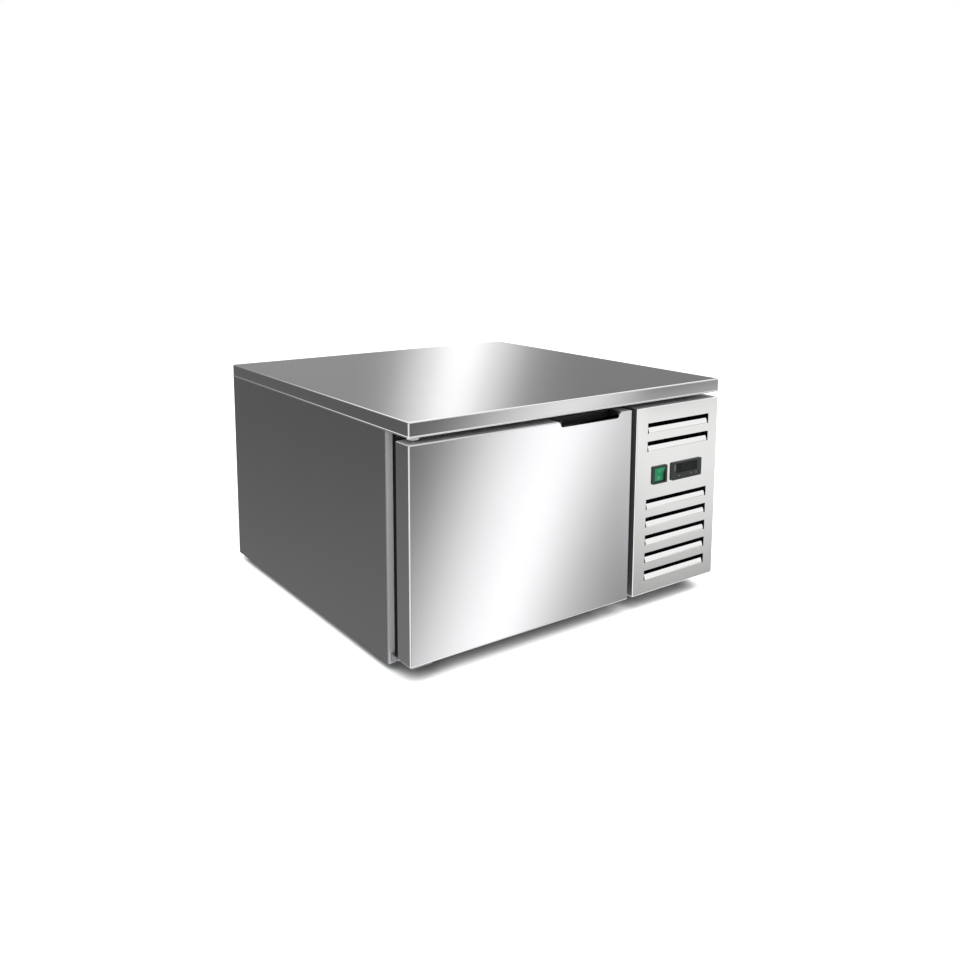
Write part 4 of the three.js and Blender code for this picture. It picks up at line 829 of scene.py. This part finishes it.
def pale_strip():
    """A narrow pale upright strip beside the display."""
    shape = bmesh.new()
    low, high = box("display_window")
    x = low.x - PALE_STRIP_MARGIN
    outline = pointed_bar((x, low.z + PALE_STRIP_MARGIN), (x, high.z), PALE_STRIP_WIDTH)
    slab(shape, outline, on_front(box("controller_housing")[0].y))
    add_piece("pale_strip", shape, "button_plastic", "cabinet", finish=print_grey)


pale_strip()

# A bar and two arrowheads: the marks' outlines, in millimetres.
BUTTON_MARKS = {
    1: [(-2.2, -0.45), (2.2, -0.45), (2.2, 0.45), (-2.2, 0.45)],
    2: [(-1.6, 1), (1.6, 1), (0, -1.2)],
    3: [(-1.6, -1), (1.6, -1), (0, 1.2)],
}
for number, outline in BUTTON_MARKS.items():
    node = f"controller_button_{number}"
    body = f"button_{number}"
    softened(body + "_cap", node, "button_plastic", body, radius=0.5 * MM)
    shape = bmesh.new()
    centre = middle(node)
    raised = [(centre.x + a, centre.z + b) for a, b in millimetres(outline)]
    slab(shape, raised, on_front(box(node)[0].y))
    add_piece(body + "_mark", shape, "button_plastic", body, finish=print_grey)


BAR_WIDTH, BAR_HEIGHT = 1.2 * MM, 6 * MM
RING_OUTER, RING_INNER = 2.75 * MM, 1.65 * MM
RING_STEPS = 28


def rocker_marks():
    """A bar and a ring on the two halves of the rocker's face."""
    rocker = cad_shape("switch_rocker")
    halves = sorted(
        (face for face in rocker.faces if face.normal.y < -MAINLY),
        key=lambda face: -face.calc_area(),
    )[:2]
    upper, lower = sorted(halves, key=lambda face: -face.calc_center_median().z)
    shape = bmesh.new()

    def on_half(half):
        """Places flat marks, across and up, from the middle of one half."""
        centre = half.calc_center_median()
        normal = half.normal.copy()
        up = normal.cross(Vector((1, 0, 0)))
        up *= math.copysign(1, up.z)

        def place(a, b, side):
            return centre + Vector((a, 0, 0)) + up * b + normal * PRINT_THICKNESS * (side - 0.5)

        return place

    a, b = BAR_WIDTH / 2, BAR_HEIGHT / 2
    slab(shape, [(-a, -b), (a, -b), (a, b), (-a, b)], on_half(upper))
    place = on_half(lower)
    rings = []
    for r, side in ((RING_OUTER, 0), (RING_OUTER, 1), (RING_INNER, 1), (RING_INNER, 0)):
        points = [place(r * math.cos(t), r * math.sin(t), side) for t in circle(RING_STEPS)]
        rings.append([shape.verts.new(point) for point in points])
    join_rings(shape, rings, closed=True)
    rocker.free()
    add_piece("rocker_marks", shape, "switch_green", "main_switch", finish=print_pale)


rocker_marks()

# ---- Chamber ----
# The chamber's inner walls: the axis that each is square to and its place, in millimetres.
CHAMBER_WALLS = [(X, -290), (X, 71), (Z, 69), (Z, 323.5), (Y, 275.2)]
CHAMBER_CORNER = 4 * MM


def liner():
    """The chamber's lining, with the radius corners of a pressed and welded box."""
    shape = cad_shape("chamber_liner")
    planes = [(axis, place * MM) for axis, place in CHAMBER_WALLS]
    rolled(shape, meeting(shape, planes), CHAMBER_CORNER, FOLD_SEGMENTS)
    add_piece("liner", shape, "inner_steel", "cabinet", "chamber_liner")


liner()
for hand in HANDS:
    softened(hand + "_rack", hand + "_pan_rack", "inner_steel", "cabinet", radius=0.4 * MM)
softened("evaporator_plate", "evaporator_cover", "inner_steel", "cabinet", radius=0.5 * MM)

GUARD_WIRE = 0.9 * MM
GUARD_SPACING = 10 * MM
GUARD_RINGS = 8
GUARD_STEPS = 72
GUARD_SIDES = 10
GUARD_BARS = (30, 90, 150)  # their slopes, in degrees
GUARD_BAR_RISE = 1.3 * MM


def guard():
    """The fan guard: welded wire rings on three bars."""
    shape = bmesh.new()
    low, high = box("evaporator_fan_guard")
    centre = (low + high) / 2
    largest = (high.x - low.x) / 2 - GUARD_WIRE
    ring_y = low.y + GUARD_WIRE
    for k in range(GUARD_RINGS):
        radius = largest - k * GUARD_SPACING
        path = [
            (centre.x + radius * math.cos(turn), ring_y, centre.z + radius * math.sin(turn))
            for turn in circle(GUARD_STEPS)
        ]
        sweep(shape, path, GUARD_WIRE, GUARD_SIDES, closed=True)
    for degrees in GUARD_BARS:
        slope = math.radians(degrees)
        reach = Vector((math.cos(slope), 0, math.sin(slope))) * largest
        hub = Vector((centre.x, ring_y + GUARD_BAR_RISE, centre.z))
        sweep(shape, [hub - reach, hub + reach], GUARD_WIRE, GUARD_SIDES)
    add_piece("guard", shape, "coil_aluminium", "cabinet", "evaporator_fan_guard")


guard()

# ---- Fans ----
BLADES = 5
BLADE_SHEET = 1.4 * MM
HUB_RADIUS = 22 * MM
HUB_SIDES = 48
# The hub's nose: shares of its radius, and distances from its front.
HUB_NOSE = [(0, 0), (0.7, 0), (0.93, 2 * MM), (1, 5 * MM)]
ROOT_SINK = 2 * MM
TIP_GAP = 0.5 * MM
ROOT_CHORD, TIP_CHORD = 30 * MM, 50 * MM
ROOT_PITCH, TIP_PITCH = 36, 22  # degrees
CAMBER = 0.07
ALONG, ACROSS = 8, 8  # faces along and across a blade


def fan(name, node, body):
    """A pressed axial fan: cambered, twisted blades on a domed hub."""
    shape = bmesh.new()
    low, high = box(node)
    centre = (low + high) / 2
    tip = (high.x - low.x) / 2 - TIP_GAP
    depth = high.y - low.y
    for blade in range(BLADES):
        rows = []
        for i in range(ALONG + 1):
            share = i / ALONG
            radius = HUB_RADIUS - ROOT_SINK + share * (tip - HUB_RADIUS + ROOT_SINK)
            chord = ROOT_CHORD + share * (TIP_CHORD - ROOT_CHORD)
            pitch = math.radians(ROOT_PITCH + share * (TIP_PITCH - ROOT_PITCH))
            row = []
            for j in range(ACROSS + 1):
                part = j / ACROSS - 0.5
                rise = part * chord * math.sin(pitch) + CAMBER * chord * (0.25 - part * part)
                turn = math.tau * blade / BLADES + part * chord * math.cos(pitch) / radius
                spot = Vector((radius * math.cos(turn), rise, radius * math.sin(turn)))
                row.append(shape.verts.new(centre + spot))
            rows.append(row)
        for near, far in zip(rows, rows[1:]):
            for j in range(ACROSS):
                shape.faces.new((near[j], near[j + 1], far[j + 1], far[j]))
    bmesh.ops.recalc_face_normals(shape, faces=shape.faces)
    bmesh.ops.solidify(shape, geom=shape.faces[:], thickness=BLADE_SHEET)
    half = depth / 2
    hub = [(HUB_RADIUS * share, behind - half) for share, behind in HUB_NOSE]
    hub += [(HUB_RADIUS, half), (0, half)]
    lathe(shape, hub, centre, Y, HUB_SIDES)
    add_piece(name, shape, "coil_aluminium", body, node)


fan("evaporator_rotor", "evaporator_fan_blade", "evaporator_fan")
fan("condenser_rotor", "condenser_fan_blade", "condenser_fan")


# ---- Studio ----
# The studio is a glowing shell that only reflections see, so it shows in polished steel and lights
# nothing else. Bearings are in degrees to the right of the rear and levels in degrees over the
# horizon. Each window says where a zone begins, is whole, stops being whole and has ended.
DOME_RADIUS = 30
DOME_STEPS = (96, 48)
ROOM_LIGHT = 1.0
ROOF_LEVELS, ROOF_EXTRA = (22, 32, 60, 76), 0.7
GROUND_LEVELS, GROUND_LIGHT = (-80, -66, -42, -29), 1.9

# Below the horizon: a soft band with three strips, which the other views see.
SOFT_LEVELS, SOFT_LIGHT = (-42, -30, -8, -2), 0.62
STRIPS, STRIP_STRENGTH = (60, 232, 300), 2.2
STRIP_PROFILE = [(0, 1), (3, 0.9), (12, 0.35), (26, 0)]

# Above the horizon, which the worktop shows: a dim band with bright, leaning strips.
BAND_LEVELS, BAND_LIGHT = (-2, 2, 20, 30), 0.345
FLOOD = 34.8
FLOODS = (FLOOD, 106, 178, 250, 322)
FLOOD_LEVEL = 8.6
FLOOD_LEAN = 0.22
FLOOD_PROFILE = [(0, 0.97), (0.9, 0.88), (1.7, 0.69), (2.75, 0.47), (3.8, 0.25), (4.7, 0.1),
                 (6, 0.02), (8, 0)]
SHADED_WINDOW, SHADED_DROP = (3, 9, 30, 50), 0.085

# What the left side shows: a dark flag, a little lighter low down and towards the front.
FLAG = -26
FLAG_WINDOW, FLAG_LEVELS, FLAG_LIGHT = (-34, -22, 16, 28), (-48, -38, -2, 8), 0.145
FLAG_LOW, FLAG_LOW_EXTRA = (-7, -27), 0.1
FLAG_RIGHT, FLAG_RIGHT_EXTRA = (-4, 5), 0.02

# What the door shows: one broad, leaning highlight.
FRONT_BAND = 180 - 38.9
FRONT_BAND_LEVEL = -17.1
FRONT_WINDOW, FRONT_LEVELS = (-24, -17, 15, 22), (-40, -32, -8, -5)
FRONT_LEAN = 0.335
FRONT_STRENGTH = 2.5
FRONT_PROFILE = [(-12, 0.07), (-8.7, 0.12), (-6.5, 0.265), (-4.3, 0.465), (-2, 0.63), (-0.6, 0.7),
                 (0.6, 0.69), (2.3, 0.53), (4.2, 0.345), (6.2, 0.215), (8.2, 0.152), (12, 0.1)]

# What the louvred panel shows, and above it what its flaps show.
PANEL = 131.8
PANEL_WINDOW, PANEL_LEVELS = (-20, -14, 2.5, 3), (-60, -46, -6, -2)
PANEL_LEAN = 0.4
PANEL_PROFILE = [(-30, 0.4), (-22, 0.43), (-20.1, 0.57), (-18.4, 0.73), (-17.2, 0.86), (-16, 0.92),
                 (-10.4, 0.96), (-9.5, 0.84), (-8.4, 0.46), (-6, 0.36)]
FLAPS_WINDOW, FLAPS_LEVELS, FLAPS_LIGHT = (-28, -18, 18, 28), (-5, 0, 40, 55), 1.06


def studio_light(tree):
    """How bright the studio is in each direction."""
    x, y, z = [axis * (1 / DOME_RADIUS) for axis in object_axes(tree)]
    level = z.rise()

    def bearing(centre):
        """Degrees to the right of a bearing."""
        c, s = math.cos(math.radians(centre)), math.sin(math.radians(centre))
        return (x * c - y * s).turn(x * s + y * c)

    light = level.window(*ROOF_LEVELS) * ROOF_EXTRA + ROOM_LIGHT
    soft = level.window(*SOFT_LEVELS)
    light = light.toward(GROUND_LIGHT, level.window(*GROUND_LEVELS))
    light = light.toward(SOFT_LIGHT, soft)

    low = level.window(*BAND_LEVELS)
    shaded = bearing(FLOOD).window(*SHADED_WINDOW)
    light = light.toward(shaded * -SHADED_DROP + BAND_LIGHT, low)
    shift = (level - FLOOD_LEVEL) * FLOOD_LEAN
    for centre in FLOODS:
        light = light + (bearing(centre) + shift).size().curve(FLOOD_PROFILE) * low
    for centre in STRIPS:
        light = light + bearing(centre).size().curve(STRIP_PROFILE) * soft * STRIP_STRENGTH

    flag = bearing(FLAG).window(*FLAG_WINDOW) * level.window(*FLAG_LEVELS)
    flag_light = level.step(*FLAG_LOW) * FLAG_LOW_EXTRA
    flag_light = flag_light + bearing(FLAG).step(*FLAG_RIGHT) * FLAG_RIGHT_EXTRA + FLAG_LIGHT
    light = light.toward(flag_light, flag)

    offset = bearing(FRONT_BAND) * -1.0 - (level - FRONT_BAND_LEVEL) * FRONT_LEAN
    front = bearing(FRONT_BAND).window(*FRONT_WINDOW) * level.window(*FRONT_LEVELS)
    light = light.toward(offset.curve(FRONT_PROFILE) * FRONT_STRENGTH, front)

    leaning_level = level + bearing(PANEL) * PANEL_LEAN
    panel = bearing(PANEL).window(*PANEL_WINDOW) * level.window(*PANEL_LEVELS)
    light = light.toward(leaning_level.curve(PANEL_PROFILE), panel)
    flaps = bearing(PANEL).window(*FLAPS_WINDOW) * level.window(*FLAPS_LEVELS)
    return light.toward(FLAPS_LIGHT, flaps)


def bare_tree(item, name):
    """Gives an object a new material, and returns its emptied node tree and its output."""
    material = bpy.data.materials.new(name)
    material.use_nodes = True
    tree = material.node_tree
    tree.nodes.clear()
    item.data.materials.append(material)
    return tree, tree.nodes.new("ShaderNodeOutputMaterial").inputs["Surface"]


def dome():
    """The shell round the scene that carries the studio's light."""
    shape = bmesh.new()
    around, upwards = DOME_STEPS
    bmesh.ops.create_uvsphere(
        shape, u_segments=around, v_segments=upwards, radius=DOME_RADIUS
    )
    for face in shape.faces:
        face.smooth = True
    shell = add_object("studio", shape)
    for kind in ("camera", "diffuse", "transmission", "volume_scatter", "shadow"):
        setattr(shell, "visible_" + kind, False)
    tree, surface = bare_tree(shell, "studio_light")
    glow = tree.nodes.new("ShaderNodeEmission")
    tree.links.new(studio_light(tree).socket, glow.inputs["Strength"])
    tree.links.new(glow.outputs[0], surface)


dome()

FLOOR_HALF_WIDTH = 12
FLOOR_SHADE = 0.86
FLOOR_SEEN = 2
SHADOW_REACH = 60 * MM
# How open the floor is where its shadow is whole and where it has ended.
SHADOW_FROM, SHADOW_TO = 0.12, 0.75
SHADOW_DARKEST = 0.15


def floor():
    """A pale floor, which the camera sees as white except close under the object, where a painted
    shadow, made from how open the floor is, darkens its colour on top of the real shadow.
    """
    shape = bmesh.new()
    bmesh.ops.create_grid(shape, x_segments=1, y_segments=1, size=FLOOR_HALF_WIDTH)
    plane = add_object("floor", shape)
    plane.visible_glossy = False
    tree, surface = bare_tree(plane, "floor")
    mix = tree.nodes.new("ShaderNodeMixShader")
    path = tree.nodes.new("ShaderNodeLightPath")
    tree.links.new(path.outputs["Is Camera Ray"], mix.inputs["Fac"])
    paints = [tree.nodes.new("ShaderNodeBsdfDiffuse") for _ in range(2)]
    for paint, socket in zip(paints, mix.inputs[1:]):
        paint.inputs["Color"].default_value = (FLOOR_SHADE,) * 3 + (1,)
        tree.links.new(paint.outputs[0], socket)
    # Painted shadow: the colour the camera sees darkens where little of the floor's surroundings is
    # open.
    openness = tree.nodes.new("ShaderNodeAmbientOcclusion")
    openness.inputs["Distance"].default_value = SHADOW_REACH
    light = Field(tree, openness.outputs["AO"]).step(SHADOW_FROM, SHADOW_TO)
    shade = light * (FLOOR_SEEN - SHADOW_DARKEST) + SHADOW_DARKEST
    tree.links.new(shade.socket, paints[1].inputs["Color"])
    tree.links.new(mix.outputs[0], surface)


floor()

AMBIENT = 0.72


def white_room():
    """A world that the camera, metal and glass see as white, and that lights a little less."""
    world = bpy.data.worlds.new("white_room")
    scene.world = world
    world.use_nodes = True
    sky = world.node_tree
    background = sky.nodes["Background"]
    background.inputs["Color"].default_value = (1, 1, 1, 1)
    path = sky.nodes.new("ShaderNodeLightPath")
    kinds = ("Is Camera Ray", "Is Glossy Ray", "Is Transmission Ray")
    camera_ray, glossy_ray, through_ray = [Field(sky, path.outputs[kind]) for kind in kinds]
    seen = camera_ray.larger(glossy_ray).larger(through_ray)
    sky.links.new((seen * (1 - AMBIENT) + AMBIENT).socket, background.inputs["Strength"])


white_room()

# Name, place, size and power. Both look at the middle of the object.
LAMPS = [("key", (-1.3, -1.8, 2.4), 2.2, 16), ("fill", (2.0, -1.6, 1.6), 2.0, 7)]
LAMP_TARGET = Vector((0, 0, 0.2))


def softbox(name, place, size, power):
    """A square lamp that reflections don't show."""
    light = bpy.data.lights.new(name, "AREA")
    light.shape = "SQUARE"
    light.size = size
    light.energy = power
    lamp = bpy.data.objects.new(name, light)
    lamp.location = place
    lamp.rotation_euler = (LAMP_TARGET - Vector(place)).to_track_quat("-Z", "Y").to_euler()
    lamp.visible_glossy = False
    scene.collection.objects.link(lamp)


for lamp_settings in LAMPS:
    softbox(*lamp_settings)

# ---- Camera ----
# Fitted to the photograph's straight edges: metres, degrees and millimetres.
CAMERA_PLACE = (-0.9905, -1.4153, 0.6704)
CAMERA_YAW = 35.874
CAMERA_PITCH = 8.296
CAMERA_ROLL = 0.154
CAMERA_LENS = 34.534
CAMERA_SENSOR = 36
CAMERA_SHIFT = -0.125


def photograph_camera():
    """The camera at the photograph's place."""
    lens = bpy.data.cameras.new("camera")
    lens.sensor_width = CAMERA_SENSOR
    lens.lens = CAMERA_LENS
    lens.shift_y = CAMERA_SHIFT
    camera = bpy.data.objects.new("camera", lens)
    yaw = Matrix.Rotation(math.radians(-CAMERA_YAW), 4, "Z")
    pitch = Matrix.Rotation(math.radians(90 - CAMERA_PITCH), 4, "X")
    roll = Matrix.Rotation(math.radians(CAMERA_ROLL), 4, "Z")
    camera.matrix_world = Matrix.Translation(CAMERA_PLACE) @ yaw @ pitch @ roll
    scene.collection.objects.link(camera)
    scene.camera = camera


photograph_camera()
scene.view_settings.view_transform = "Standard"
